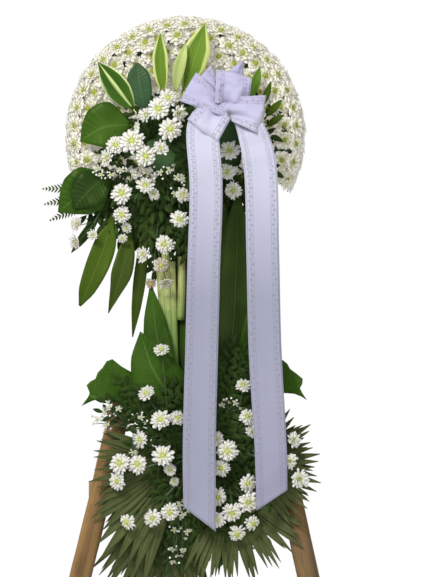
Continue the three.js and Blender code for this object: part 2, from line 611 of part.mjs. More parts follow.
// Mums stand in rows on the face, and in three rows round the rim. A leaf or stalk keeps its place,
// and the mum that would cross it is left out.
function headMums() {
  const parts = [drilled(pad())];
  const addMum = (centre, look, layers) => {
    const root = centre.clone().addScaledVector(look.clone().normalize(), -26);
    const bloom = mum(centre, look, mumRadius, 5, root, layers);
    if (placed.every((other) => bloom.intersect(other).volume() < 1e-6)) parts.push(bloom);
  };
  const rowStep = mumSpacing * 0.88;
  const limit = headRadius - 26;
  const lowest = headCut - headZ + 22;
  for (let row = 0; lowest + row * rowStep < limit; row += 1) {
    const up = lowest + row * rowStep;
    for (let column = -6; column <= 6; column += 1) {
      const aside = (column + (row % 2) / 2) * mumSpacing;
      const hidden = ((aside - 45) / 166) ** 2 + ((up + 5) / 128) ** 2 < 1;
      if (hidden || Math.hypot(aside, up) > limit) continue;
      const centre = point(headX + aside + between(-3, 3), padFront - 12, headZ + up + between(-3, 3));
      const look = point(aside * 0.0016, -1, up * 0.0016 + 0.04);
      addMum(centre, look, 2);
    }
  }
  const rim = [[-10, -8, 0.9], [8, 26, 0.25], [8, 62, -0.1]];
  const first = Math.asin((headCut - headZ + 16) / headRadius);
  for (const [outward, back, front] of rim) {
    const ring = headRadius + outward;
    const count = Math.floor(((Math.PI - 2 * first) * (ring + 10)) / (mumSpacing + 4));
    for (let i = 0; i <= count; i += 1) {
      const angle = first + ((Math.PI - 2 * first) * i) / count;
      const across = point(Math.cos(angle), 0, Math.sin(angle));
      const centre = point(headX, padFront + back + between(-2, 2), headZ);
      centre.addScaledVector(across, ring + 6);
      addMum(centre, across.clone().add(point(0, -front, 0)), back > 40 ? 1 : 2);
    }
  }
  return join(parts);
}
addNode("HeadMums", headMums(), petalWhite);

function board() {
  const shape = halfMoon(headRadius - 12, headCut - 6);
  const geometry = new THREE.ExtrudeGeometry(shape, { depth: boardThick, bevelEnabled: false, curveSegments: 20 });
  geometry.rotateX(Math.PI / 2);
  geometry.translate(headX, boardBack, headZ);
  return solid(geometry);
}
addNode("HeadBoard", board(), boardWood);

// The wooden bars are notched where they cross the legs and the mast.
function bar(low, high) {
  const notches = legEnds.map(([foot, top]) => rod(foot, top, legRadius + gap, legRadius - 2 + gap, 14));
  return [...notches, mastHole].reduce((left, notch) => left.subtract(notch), box(low, high));
}
addNode("BattenUpper", bar(point(-150, boardBack + gap, 1430), point(110, -66, 1465)), boardWood);
addNode("BattenLower", bar(point(-170, boardBack + gap, 1275), point(130, -84, 1310)), boardWood);
addNode("CrossbarUpper", bar(point(-205, -190, 690), point(215, -160, 728)), boardWood);
addNode("CrossbarLower", bar(point(-262, -226, 480), point(268, -186, blockLow - gap)), boardWood);

export default wreath;
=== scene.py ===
# %% [markdown]
# # A funeral wreath on a wooden stand
# The real object is put together by a florist: a half-moon pad of foam covered with white mums,
# a second bunch of leaves and mums lower down, a ribbon with a bow, and a stand of rough poles.
# The plain solids of all these come from the CAD frame. Here each one gets a finer form and a
# finish. Every length below is written in millimetres and turned into metres where it is used.

# %% Load the frame
import math
import random

import bmesh
import bpy
from mathutils import Matrix, Vector, noise


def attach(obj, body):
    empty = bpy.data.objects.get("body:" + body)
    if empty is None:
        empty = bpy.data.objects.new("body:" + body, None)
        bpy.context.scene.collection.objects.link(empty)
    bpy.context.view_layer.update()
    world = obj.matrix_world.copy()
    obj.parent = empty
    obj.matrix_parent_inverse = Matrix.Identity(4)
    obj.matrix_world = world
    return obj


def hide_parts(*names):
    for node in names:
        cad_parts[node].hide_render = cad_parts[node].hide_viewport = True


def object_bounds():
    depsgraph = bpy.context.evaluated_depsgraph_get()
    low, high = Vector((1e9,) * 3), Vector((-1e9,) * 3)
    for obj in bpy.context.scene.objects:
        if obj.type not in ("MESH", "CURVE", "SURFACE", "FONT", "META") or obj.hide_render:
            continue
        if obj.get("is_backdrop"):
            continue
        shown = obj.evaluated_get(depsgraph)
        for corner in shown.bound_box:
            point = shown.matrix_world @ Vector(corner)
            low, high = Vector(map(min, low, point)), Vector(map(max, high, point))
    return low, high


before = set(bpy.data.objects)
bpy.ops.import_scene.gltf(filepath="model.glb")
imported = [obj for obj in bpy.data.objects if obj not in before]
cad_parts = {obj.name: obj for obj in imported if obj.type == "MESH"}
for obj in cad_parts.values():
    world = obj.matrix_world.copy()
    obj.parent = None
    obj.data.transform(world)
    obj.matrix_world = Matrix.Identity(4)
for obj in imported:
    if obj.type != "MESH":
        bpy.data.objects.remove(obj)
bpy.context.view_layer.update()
print("nodes in the frame:", len(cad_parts))

# %% [markdown]
# ## Camera
# The photograph was taken from straight in front, from about the height of the wreath's waist.
# A long lens from far away keeps the things near the camera and the things behind in step.
# The frame is 433 by 577 pixels and shows 1.44 m of the wreath's height.

# %% Camera
VIEW_HEIGHT = 1.442
DISTANCE = 12.0
FLOWER_PLANE = -0.29


def add_object(name, data):
    made = bpy.data.objects.new(name, data)
    bpy.context.scene.collection.objects.link(made)
    return made


camera_data = bpy.data.cameras.new("camera")
camera_data.sensor_width = 36
camera_data.lens = 36 * DISTANCE / VIEW_HEIGHT
camera = add_object("camera", camera_data)
camera.location = (0.059, FLOWER_PLANE - DISTANCE, 1.004)
camera.rotation_euler = (math.radians(90), 0, 0)
bpy.context.scene.camera = camera
print("lens", round(camera_data.lens), "mm")

# %% [markdown]
# ## Light and floor
# Soft daylight from a large opening in front and a little above gives flowers their depth. One big
# area lamp is that opening, a second one fills the shadows from in front, and a third lights the
# back. The sky is a pale grey that the camera sees as white paper.

# %% Light and floor
def area_lamp(name, place, target, size, power, colour):
    data = bpy.data.lights.new(name, "AREA")
    data.shape = "DISK"
    data.size = size
    data.energy = power
    data.color = colour
    lamp = add_object(name, data)
    lamp.location = place
    lamp.rotation_euler = (Vector(target) - Vector(place)).to_track_quat("-Z", "Y").to_euler()


area_lamp("key", (-1.5, -3.2, 3.6), (0, -0.2, 1.1), 1.1, 165, (1.0, 0.99, 0.96))
area_lamp("fill", (0.9, -4.2, 1.5), (0, -0.2, 1.1), 2.6, 50, (0.97, 0.98, 1.0))
area_lamp("back", (0.6, 3.0, 2.8), (0, 0, 1.1), 2.0, 40, (1.0, 1.0, 1.0))

world = bpy.data.worlds.new("sky")
world.use_nodes = True
bpy.context.scene.world = world
sky = world.node_tree
seen = sky.nodes.new("ShaderNodeLightPath")
paper = sky.nodes["Background"]
paper.inputs["Color"].default_value = (0.95, 0.96, 1.0, 1)
paper.inputs["Strength"].default_value = 0.55
white = sky.nodes.new("ShaderNodeBackground")
white.inputs["Color"].default_value = (1, 1, 1, 1)
both = sky.nodes.new("ShaderNodeMixShader")
sky.links.new(seen.outputs["Is Camera Ray"], both.inputs["Fac"])
sky.links.new(paper.outputs[0], both.inputs[1])
sky.links.new(white.outputs[0], both.inputs[2])
sky.links.new(both.outputs[0], sky.nodes["World Output"].inputs["Surface"])
bpy.context.scene.view_settings.view_transform = "Standard"

floor_form = bmesh.new()
bmesh.ops.create_circle(floor_form, cap_ends=True, segments=96, radius=2.2)
floor_mesh = bpy.data.meshes.new("floor")
floor_form.to_mesh(floor_mesh)
floor_form.free()
floor = add_object("floor", floor_mesh)
floor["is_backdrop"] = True

# %% [markdown]
# ## Writing a finish as sums
# A material in Blender is a net of nodes. Drawing it by hand is clear for a few nodes, but a leaf
# needs veins, patches and a pale edge. The two small classes below let such a pattern be written as
# a sum in Python: a Wire is one value in the net, and adding or multiplying wires adds the nodes.

# %% Wires and finishes
class Wire:
    """One value in a finish, which can be used in sums."""

    def __init__(self, finish, socket):
        self.finish = finish
        self.socket = socket

    def __add__(self, other):
        return self.finish.maths("ADD", self, other)

    def __sub__(self, other):
        return self.finish.maths("SUBTRACT", self, other)

    def __rsub__(self, other):
        return self.finish.maths("SUBTRACT", other, self)

    def __mul__(self, other):
        return self.finish.maths("MULTIPLY", self, other)

    def __truediv__(self, other):
        return self.finish.maths("DIVIDE", self, other)

    __radd__ = __add__
    __rmul__ = __mul__

    def clamp(self):
        return self.finish.maths("ADD", self, 0, settings={"use_clamp": True})

    def size(self):
        return self.finish.maths("ABSOLUTE", self)

    def wave(self):
        return self.finish.maths("SINE", self)

    def part(self):
        return self.finish.maths("FRACT", self)


class Finish:
    """A material and its net of nodes."""

    def __init__(self, name, **constants):
        self.material = bpy.data.materials.new(name)
        self.material.use_nodes = True
        self.tree = self.material.node_tree
        self.shader = self.tree.nodes["Principled BSDF"]
        for socket, value in constants.items():
            self.shader.inputs[socket.replace("_", " ")].default_value = value

    def feed(self, socket, value):
        if isinstance(value, Wire):
            self.tree.links.new(value.socket, socket)
        elif hasattr(value, "__len__") and len(value) == 3 and len(socket.default_value) == 4:
            socket.default_value = (*value, 1)
        else:
            socket.default_value = value

    def node(self, kind, inputs=None, settings=None, out=0):
        made = self.tree.nodes.new(kind)
        for key, value in (settings or {}).items():
            setattr(made, key, value)
        for key, value in (inputs or {}).items():
            self.feed(made.inputs[key], value)
        return Wire(self, made.outputs[out])

    def maths(self, operation, *values, settings=None):
        chosen = {"operation": operation, **(settings or {})}
        return self.node("ShaderNodeMath", dict(enumerate(values)), chosen)

    def mix(self, share, first, second):
        inputs = {0: share, 6: first, 7: second}
        return self.node("ShaderNodeMix", inputs, {"data_type": "RGBA", "clamp_factor": True}, out=2)

    def place(self):
        return self.node("ShaderNodeTexCoord", out=3)

    def chart(self):
        both = self.node("ShaderNodeUVMap", settings={"uv_map": "Chart"})
        return [self.node("ShaderNodeSeparateXYZ", {0: both}, out=i) for i in (0, 1)]

    def note(self, name):
        return self.node("ShaderNodeAttribute", settings={"attribute_name": name}, out=2)

    def cloud(self, scale, detail=3, where=None, rough=0.5):
        inputs = {"Vector": where or self.place(), "Scale": scale,
                  "Detail": detail, "Roughness": rough}
        return self.node("ShaderNodeTexNoise", inputs)

    def colour(self, wire):
        self.feed(self.shader.inputs["Base Color"], wire)

    def gloss(self, wire):
        self.feed(self.shader.inputs["Roughness"], wire)

    def bump(self, height, distance, strength=1.0):
        inputs = {"Height": height, "Distance": distance, "Strength": strength}
        self.feed(self.shader.inputs["Normal"], self.node("ShaderNodeBump", inputs))


# %% [markdown]
# ## The floor's finish
# The floor isn't part of the wreath. It is a pale grey with the faintest clouding.

# %% Floor finish
floor_finish = Finish("floor_pale", Roughness=0.8)
floor_finish.colour(floor_finish.mix(floor_finish.cloud(2), (0.80, 0.80, 0.80), (0.84, 0.84, 0.84)))
floor.data.materials.append(floor_finish.material)

# %% [markdown]
# ## Petals, eyes and stems
# A mum's petal is white and turns yellow-green towards the eye. It is so thin that light comes
# through it, which the finish shows with scatter under the surface. A weak glow on top is painted
# light that lifts the shade between the petals. Older blooms turn cream and then brown, so each
# bloom carries a number, its age, that the finish reads.
# The eye is a dome of tiny yellow-green florets, which a cell pattern draws.

# %% Flower finishes
def petal_finish(name, root, spread, tip, through, painted_glow):
    # The emission is a painted glow: painted light that lifts the shade between petals.
    finish = Finish(name, Roughness=0.6, Specular_IOR_Level=0.15, Subsurface_Weight=0.7,
                    Subsurface_Scale=through, Subsurface_Radius=(1.0, 1.0, 0.9),
                    Emission_Color=(1.0, 0.95, 0.84, 1), Emission_Strength=painted_glow)
    across, along = finish.chart()
    age = finish.note("Age")
    blade = finish.mix(along, (0.90, 0.90, 0.80), tip)
    rooted = finish.mix((1 - along * spread).clamp(), blade, root)
    patch = finish.cloud(60, 2) - 0.35
    aged = finish.mix((age * 1.1 + age * patch).clamp(), rooted, (0.40, 0.30, 0.17))
    finish.colour(aged)
    groove = (across * 19).wave() * 0.5
    finish.bump(groove + finish.cloud(350, 2) * 0.6, 0.0005, 0.4)
    return finish.material


def eye_finish(name, pale, deep, middle):
    finish = Finish(name, Roughness=0.7, Specular_IOR_Level=0.15)
    cells = finish.node("ShaderNodeTexVoronoi", {"Vector": finish.place(), "Scale": 650})
    floret = finish.mix((cells * 1.6).clamp(), pale, deep)
    finish.colour(finish.mix(finish.cloud(90), floret, middle))
    finish.bump(1 - cells, 0.001, 0.8)
    return finish.material


def stem_finish(name, dark, light):
    finish = Finish(name, Roughness=0.55)
    finish.colour(finish.mix(finish.cloud(70), dark, light))
    finish.bump(finish.cloud(400), 0.0004, 0.4)
    return finish.material


# The last number of each petal finish is its painted glow, stronger on the head.
PETAL = petal_finish("petal", (0.50, 0.55, 0.09), 1.42, (0.88, 0.86, 0.79), 0.008, 0.03)
PETAL_HEAD = petal_finish("petal_head", (0.40, 0.41, 0.04), 1.12, (0.93, 0.89, 0.79), 0.012, 0.10)
EYE = eye_finish("eye", (0.60, 0.62, 0.10), (0.26, 0.36, 0.03), (0.50, 0.56, 0.13))
EYE_HEAD = eye_finish("eye_head", (0.42, 0.43, 0.06), (0.16, 0.20, 0.02), (0.30, 0.33, 0.05))
STEM = stem_finish("stem", (0.012, 0.03, 0.006), (0.045, 0.09, 0.02))
# The cups on the head are pale instead of stem green: painted light in the gaps between its blooms.
CUP_HEAD_PAINTED_LIGHT = stem_finish("cup_head_painted_light", (0.34, 0.38, 0.12), (0.55, 0.57, 0.28))

# %% [markdown]
# ## Leaves
# Every leaf here is a flat blade with a rib, so one finish does for all. It reads the leaf's own
# chart, whose first number runs across the blade and whose second runs from foot to tip. Broad
# leaves have side veins at a slant; strap leaves have lines along them; two kinds have a pale edge.

# %% Leaf finish
FULL_TURN = 6.283


def leaf_finish(name, deep, bright, vein, side=12, lines=0, edge=None, edge_from=0.6, gloss=0.42,
                vein_share=0.5, middle=0.0):
    finish = Finish(name, Roughness=gloss, Specular_IOR_Level=0.15, Specular_Tint=(0.9, 1.0, 0.45, 1))
    across, along = finish.chart()
    out = (across * 2 - 1).size()
    patch = (finish.cloud(9, 4) * 1.6 - 0.35).clamp()
    colour = finish.mix(patch, deep, bright)
    rib = (1 - out * 14).clamp()
    relief = rib * 0.6
    if side:
        slant = (along * side - out * 1.5).part()
        thin = (1 - (slant - 0.5).size() * 14).clamp() * (1 - out * 0.7)
        rib = (rib + thin * 0.55).clamp()
        relief = relief - (slant * FULL_TURN).wave() * 0.25
    if lines:
        grain = (out * lines + finish.cloud(14) * 3).wave() * 0.5 + 0.5
        colour = finish.mix(grain * 0.35, colour, bright)
        relief = relief + grain * 0.35
    if edge:
        streak = finish.node("ShaderNodeCombineXYZ", {0: across * 9, 1: along * 0.9})
        drift = (finish.cloud(1.4, 3, streak) - 0.5) * 0.9
        ragged = ((out - edge_from + drift) * 7).clamp()
        if middle:
            ragged = (ragged + ((middle - out + drift * 0.3) * 9).clamp()).clamp()
        colour = finish.mix(ragged, colour, edge)
    colour = finish.mix(rib * vein_share, colour, vein)
    finish.colour(colour)
    finish.gloss(finish.cloud(40) * 0.25 + (gloss - 0.12))
    finish.bump(relief + finish.cloud(160) * 0.3, 0.0012, 0.6)
    return finish.material


LEAF_DARK = leaf_finish("leaf_dark", (0.006, 0.019, 0.003), (0.024, 0.058, 0.008), (0.05, 0.09, 0.02))
LEAF_SPRIG = leaf_finish("leaf_sprig", (0.008, 0.020, 0.004), (0.034, 0.066, 0.014), (0.07, 0.11, 0.03))
LEAF_GREEN = leaf_finish("leaf_green", (0.010, 0.036, 0.003), (0.042, 0.10, 0.008), (0.09, 0.16, 0.03))
LEAF_LANCE = leaf_finish("leaf_lance", (0.013, 0.033, 0.002), (0.055, 0.098, 0.006), (0.10, 0.15, 0.02),
                         side=0, lines=26)
LEAF_LANCE_DARK = leaf_finish("leaf_lance_dark", (0.009, 0.022, 0.002), (0.038, 0.066, 0.006),
                              (0.08, 0.12, 0.02), side=0, lines=26)
LEAF_TALL = leaf_finish("leaf_tall", (0.006, 0.016, 0.003), (0.036, 0.078, 0.010), (0.12, 0.18, 0.05),
                        side=0, lines=44, vein_share=0.4)
LEAF_FRESH = leaf_finish("leaf_fresh", (0.04, 0.10, 0.008), (0.14, 0.25, 0.025), (0.18, 0.28, 0.06),
                         side=0, lines=26)
LEAF_STRIPED = leaf_finish("leaf_striped", (0.05, 0.115, 0.01), (0.14, 0.23, 0.025), (0.26, 0.34, 0.09),
                           side=0, lines=30, edge=(0.46, 0.51, 0.18), edge_from=0.6, vein_share=0.3)
LEAF_STRIPED_DARK = leaf_finish("leaf_striped_dark", (0.012, 0.045, 0.005), (0.05, 0.125, 0.012),
                                (0.20, 0.28, 0.08), side=0, lines=30, edge=(0.50, 0.58, 0.24),
                                edge_from=0.86, middle=0.16, vein_share=0.3)
LEAF_BLUISH = leaf_finish("leaf_bluish", (0.010, 0.034, 0.014), (0.045, 0.10, 0.045), (0.08, 0.14, 0.07))
LEAF_PALE = leaf_finish("leaf_pale", (0.24, 0.32, 0.08), (0.50, 0.56, 0.22), (0.66, 0.70, 0.40),
                        side=0, lines=30)
LEAF_FAN = leaf_finish("leaf_fan", (0.018, 0.031, 0.009), (0.085, 0.100, 0.036), (0.27, 0.28, 0.17),
                       side=0, lines=20, gloss=0.5)

# %% [markdown]
# ## Making and keeping a piece
# A piece starts as a bmesh, Blender's workshop mesh. The helpers below begin one with a chart and an
# age for each point, and turn it into an object that takes the place of its CAD solids.

# %% Begin and keep a piece
def at(x, y, z):
    """A place given in millimetres, in metres."""
    return Vector((x, y, z)) * 0.001


def begin():
    form = bmesh.new()
    form.loops.layers.uv.new("Chart")
    form.verts.layers.float.new("Age")
    return form


def as_mesh(form, name):
    mesh = bpy.data.meshes.new(name)
    form.to_mesh(mesh)
    form.free()
    return mesh


def join_in(form, part):
    """Adds a small finished part to a large piece, which is quicker than making it there."""
    mesh = as_mesh(part, "part")
    form.from_mesh(mesh)
    bpy.data.meshes.remove(mesh)


def keep(form, name, finishes, slot, *nodes):
    """Turns a form into a piece. A piece without nodes stands for nothing in the frame."""
    bmesh.ops.recalc_face_normals(form, faces=form.faces)
    mesh = as_mesh(form, name)
    mesh.shade_smooth()
    for finish in finishes:
        mesh.materials.append(finish)
    piece = add_object(name, mesh)
    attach(piece, "root")
    if nodes:
        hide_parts(*nodes)
    print(name, len(mesh.polygons), "faces")
    return piece


# %% [markdown]
# ## Curves and shapes that follow them
# Stems, straps, leaves and ribbons are all a simple shape bent along a curve. The curve goes
# smoothly through a few points. A shape is made straight first, and then each of its points moves to
# the place on the curve that its height asks for, which keeps the making simple and the mesh even.

# %% A smooth curve
def curve(points):
    """A function from 0 to 1 that passes smoothly through the points."""
    points = [2 * points[0] - points[1], *points, 2 * points[-1] - points[-2]]
    spans = len(points) - 3

    def place(t):
        step = min(max(int(t * spans), 0), spans - 1)
        u = t * spans - step
        a, b, c, d = points[step:step + 4]
        gaps = [max((q - p).length, 1e-6) ** 0.5 for p, q in ((a, b), (b, c), (c, d))]
        first, middle, last = gaps
        start = ((b - a) / first - (c - a) / (first + middle) + (c - b) / middle) * middle
        end = ((c - b) / middle - (d - b) / (middle + last) + (d - c) / last) * middle
        bend = 3 * (c - b) - 2 * start - end
        return b + start * u + bend * u ** 2 + (2 * (b - c) + start + end) * u ** 3

    return place


def directions(place, t, facing):
    """Along the curve, to its side and outwards, at one spot."""
    ahead = (place(min(t + 0.01, 1)) - place(max(t - 0.01, 0))).normalized()
    side = ahead.cross(facing).normalized()
    return ahead, side, side.cross(ahead)


def numbers(values):
    """A smooth function through numbers at equal steps."""
    place = curve([Vector((value, 0, 0)) for value in values])
    return lambda t: max(place(t).x, 0)


# %% Tubes and blades
FRONT = Vector((0, -1, 0))
NEARLY_FRONT = Vector((0, -1, 0.02))


def faces_of(verts):
    return list({face for vert in verts for face in vert.link_faces})


def thicken(form, faces, thickness):
    bmesh.ops.recalc_face_normals(form, faces=faces)
    bmesh.ops.solidify(form, geom=faces, thickness=thickness)


def rings(form, verts, cuts):
    """Cuts a straight upright shape at each height."""
    for cut in cuts:
        faces = faces_of(verts)
        edges = list({edge for vert in verts for edge in vert.link_edges})
        made = bmesh.ops.bisect_plane(form, geom=[*verts, *edges, *faces],
                                      plane_co=(0, 0, cut), plane_no=(0, 0, 1))
        verts = verts + [item for item in made["geom_cut"] if isinstance(item, bmesh.types.BMVert)]
    return verts


def tube(form, place, radius, sides=6, cuts=1, paint=0):
    """A round stem or pole along a curve. The radius is a function from 0 to 1."""
    made = bmesh.ops.create_cone(form, cap_ends=True, segments=sides, radius1=1, radius2=1, depth=1)
    verts = rings(form, made["verts"], [i / (cuts + 1) - 0.5 for i in range(1, cuts + 1)])
    for vert in verts:
        t = min(max(vert.co.z + 0.5, 0), 1)
        _, side, out = directions(place, t, NEARLY_FRONT)
        flat = vert.co.xy.normalized() * radius(t)
        vert.co = place(t) + side * flat.x + out * flat.y
    for face in faces_of(verts):
        face.material_index = paint
    return verts


def blade(form, spine, widths, columns=6, rows=20, fold=0.2, wave=0.0, thick=0.9, paint=0):
    """A leaf along its spine. The widths are half widths in millimetres at equal steps."""
    place = curve([at(*spot) if not isinstance(spot, Vector) else spot for spot in spine])
    half_at = numbers(widths)
    made = bmesh.ops.create_grid(form, x_segments=columns, y_segments=rows, size=0.5, calc_uvs=True)
    verts = made["verts"]
    faces = faces_of(verts)
    for vert in verts:
        across = vert.co.x * 2
        t = vert.co.y + 0.5
        _, side, out = directions(place, t, FRONT)
        half = max(half_at(t), 0.4) * 0.001
        lift = abs(across) * half * fold + wave * 0.001 * abs(across) * math.sin(t * 14 + across * 2)
        vert.co = place(t) + side * across * half + out * lift
    for face in faces:
        face.material_index = paint
    thicken(form, faces, thick * 0.001)


# %% [markdown]
# ## Wooden stand
# The photograph shows two front legs of peeled poles and a thin mast. Poles are never quite
# straight or round, so each leg is a tube along a slightly bent line whose radius wanders, with a
# few knots. The grain runs along the pole: the finish splits a point into the part along the pole
# and the rest, and stretches its clouds along the first. The mast is drawn much darker, as painted
# shade for a pole behind the leaves, and the right leg is drawn a little darker, as painted shade too.

# %% Wood finish
def wood_finish(name, along, pale, deep, streak):
    finish = Finish(name, Specular_IOR_Level=0.2)
    axis = Vector(along).normalized()
    place = finish.place()
    run = finish.node("ShaderNodeVectorMath", {0: place, 1: axis}, {"operation": "DOT_PRODUCT"}, out=1)
    back = finish.node("ShaderNodeVectorMath", {0: tuple(axis), 3: run * -0.93}, {"operation": "SCALE"})
    grain_place = finish.node("ShaderNodeVectorMath", {0: place, 1: back}, {"operation": "ADD"})
    fibre = finish.cloud(150, 5, grain_place, 0.7)
    broad = finish.cloud(24, 3, grain_place)
    colour = finish.mix((broad * 1.8 - 0.4).clamp(), deep, pale)
    dark = ((fibre - 0.52) * 5).clamp()
    colour = finish.mix(dark * 0.7, colour, streak)
    grey = ((finish.cloud(6, 3) - 0.55) * 4).clamp()
    finish.colour(finish.mix(grey * 0.2, colour, (0.24, 0.20, 0.14)))
    finish.gloss(fibre * 0.3 + 0.5)
    finish.bump(fibre + broad, 0.0025, 0.6)
    return finish.material


# %% Legs and mast
LEG_RADIUS = 0.0285
POLE_TINTS = (0.38, 0.225, 0.078), (0.08, 0.040, 0.014), (0.03, 0.014, 0.007)
LEG_LINES = {
    "LegLeft": [(-350, -331, 0), (-173, -214, 745)],
    "LegRight": [(350, -331, 0), (185, -214, 745)],
    "LegBack": [(-30, 331, 0), (-24, -70.6, 1000)],
}


def pole(name, knots, painted_shade_tone=1.0):
    form = begin()
    foot, top = [at(*end) for end in LEG_LINES[name]]
    below = foot - (top - foot) * 0.08
    place = curve([below, foot, foot.lerp(top, 0.5) + Vector((0.002, 0, 0)), top])
    verts = tube(form, place, lambda t: LEG_RADIUS * (1 - 0.07 * t), 28, 30)
    axis = (top - foot).normalized()
    for vert in verts:
        middle = foot + axis * (vert.co - foot).dot(axis)
        lump = noise.noise(vert.co * 14) * 0.0016
        for share, turn in knots:
            spot = foot.lerp(top, share) + Vector((math.cos(turn), math.sin(turn), 0)) * LEG_RADIUS
            lump += 0.004 * math.exp(-((vert.co - spot).length / 0.016) ** 2)
        vert.co += (vert.co - middle).normalized() * lump
    everything = [*form.verts, *form.edges, *form.faces]
    cut = bmesh.ops.bisect_plane(form, geom=everything, plane_co=(0, 0, 0), plane_no=(0, 0, 1),
                                 clear_inner=True)
    rim = [item for item in cut["geom_cut"] if isinstance(item, bmesh.types.BMEdge)]
    bmesh.ops.holes_fill(form, edges=rim, sides=0)
    # A tone below 1 darkens all the wood tints: painted shade, not a darker wood.
    tints = [tuple(part * painted_shade_tone for part in tint) for tint in POLE_TINTS]
    finish = wood_finish("pole_" + name, axis, *tints)
    keep(form, name + "_pole", [finish], "pole_wood", name)


pole("LegLeft", [(0.42, -2.0), (0.70, -0.8)])
# The right leg is drawn at 0.72 of the wood's tints: painted shade.
pole("LegRight", [(0.36, -1.2), (0.62, -2.2)], 0.72)
pole("LegBack", [(0.3, 1.6)])


def mast():
    form = begin()
    place = curve([at(-24, -175, 466), at(-24, -114, 978), at(-24, -53, 1490)])
    tube(form, place, lambda t: 0.0165 + 0.0006 * math.sin(t * 60), 20, 40)
    # The mast's tints are much darker than the legs': painted shade for a pole behind the leaves.
    finish = wood_finish("mast_painted_shade", (0, 0.12, 1), (0.16, 0.075, 0.04), (0.09, 0.035, 0.02),
                         (0.03, 0.012, 0.008))
    keep(form, "Mast_pole", [finish], "mast_wood", "Mast")


mast()

# %% [markdown]
# ## Board, battens, bars and foam
# These hardly show. Their CAD solids have the right shape already, so they stay and only get a
# finish: sawn wood with its grain along each bar, and green foam with fine pores.

# %% Finishes for the plain solids
def refinish(node, material):
    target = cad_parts[node]
    target.data.materials.clear()
    target.data.materials.append(material)


BAR_WOOD = wood_finish("bar_wood", (1, 0, 0), (0.42, 0.27, 0.14), (0.28, 0.17, 0.08),
                       (0.14, 0.08, 0.04))
for bar in ("BattenUpper", "BattenLower", "CrossbarUpper", "CrossbarLower", "HeadBoard"):
    refinish(bar, BAR_WOOD)


def foam_finish():
    finish = Finish("foam", Roughness=0.95, Specular_IOR_Level=0.1)
    pores = finish.cloud(420, 4)
    finish.colour(finish.mix(pores, (0.02, 0.05, 0.015), (0.07, 0.13, 0.05)))
    finish.bump(pores, 0.002, 0.8)
    return finish.material


FOAM = foam_finish()
refinish("FoamBlockLower", FOAM)

# %% [markdown]
# ## One petal and one bloom
# A mum's petal is a narrow strip with its sides turned up. It begins as a four-sided cone cut into
# rings; the four corners of a ring become the left edge, the groove, the right edge and the
# underside. A bloom is three rounds of petals about an eye, and since thousands of petals show, each
# one has only a few faces. Six blooms and a small floret are made once and then copied: two open,
# one cupped, one drooping, and two with fuller, lower rounds that pack closely on the head.

# %% A petal
def petal(form, turn, length, width, rise, curl, twist):
    """Grows one petal out of the middle. Lengths are shares of the bloom's radius."""
    made = bmesh.ops.create_cone(form, cap_ends=True, segments=4, radius1=1, radius2=0, depth=1)
    verts = rings(form, made["verts"], (-0.14, 0.33))
    chart = form.loops.layers.uv["Chart"]
    spots = {}
    for vert in verts:
        t = min(max(vert.co.z + 0.5, 0), 1)
        angle = math.atan2(vert.co.y, vert.co.x)
        corner = round(angle / (math.pi / 2) - 0.01) % 4 if vert.co.xy.length > 1e-4 else 0
        half = width * (0.5 + 1.25 * t - 0.9 * t * t) if t < 0.99 else 0
        across = {0: half, 1: 0, 2: -half, 3: 0}[corner]
        depth = {0: 0, 1: -0.16 * half, 2: 0, 3: -0.2 * half - 0.04}[corner]
        reach = 0.10 + (length - 0.10) * t
        height = 0.05 + math.sin(rise) * reach * (1 - curl * t * t) + depth
        out = math.cos(rise) * reach
        spots[vert] = ((across / width + 1) / 2, t * length)
        flat = Vector((out, across + twist * t * t, height))
        vert.co = Matrix.Rotation(turn, 3, "Z") @ flat
    for face in faces_of(verts):
        face.material_index = 0
        for loop in face.loops:
            loop[chart].uv = spots[loop.vert]


# %% Blooms to copy
def bloom(name, seed, rounds, eye):
    """A bloom of radius 1 that faces +Z, with its back at the origin."""
    chance = random.Random(seed)
    form = begin()
    for count, length, width, rise, curl in rounds:
        start = chance.random() * 6
        for i in range(count):
            turn = start + (i + chance.uniform(-0.22, 0.22)) * 2 * math.pi / count
            petal(form, turn, length * chance.uniform(0.80, 1.08), width * chance.uniform(0.88, 1.12),
                  rise + chance.uniform(-0.14, 0.14), curl, chance.uniform(-0.13, 0.13))
    ball = bmesh.ops.create_icosphere(form, subdivisions=2, radius=eye)
    for vert in ball["verts"]:
        vert.co.z = vert.co.z * 0.55 + 0.12
    for face in faces_of(ball["verts"]):
        face.material_index = 1
    cup = bmesh.ops.create_cone(form, cap_ends=True, segments=8, radius1=0.07, radius2=0.22, depth=0.3)
    for vert in cup["verts"]:
        vert.co.z -= 0.12
    for face in faces_of(cup["verts"]):
        face.material_index = 2
    bmesh.ops.recalc_face_normals(form, faces=form.faces)
    mesh = as_mesh(form, name)
    print(name, len(mesh.polygons), "faces")
    return mesh


OPEN = bloom("bloom_open", 3, [(17, 1.04, 0.155, 0.06, 0.3), (15, 0.90, 0.145, 0.26, 0.2),
                               (10, 0.66, 0.125, 0.55, 0.2)], 0.2)
OPEN_TWO = bloom("bloom_open_two", 8, [(18, 1.04, 0.15, 0.0, 0.4), (15, 0.88, 0.14, 0.24, 0.1),
                                       (11, 0.64, 0.12, 0.5, 0.2)], 0.2)
CUPPED = bloom("bloom_cupped", 5, [(15, 1.02, 0.155, 0.42, 0.2), (13, 0.9, 0.14, 0.66, 0.1),
                                   (8, 0.68, 0.12, 0.92, 0.1)], 0.2)
DROOPED = bloom("bloom_drooped", 9, [(14, 1.02, 0.15, -0.35, 0.2), (13, 0.88, 0.14, 0.05, 0.3),
                                     (8, 0.6, 0.12, 0.5, 0.2)], 0.2)
PACKED = bloom("bloom_packed", 4, [(16, 1.08, 0.22, 0.30, 0.35), (14, 0.86, 0.20, 0.44, 0.2),
                                   (9, 0.56, 0.16, 0.58, 0.1)], 0.26)
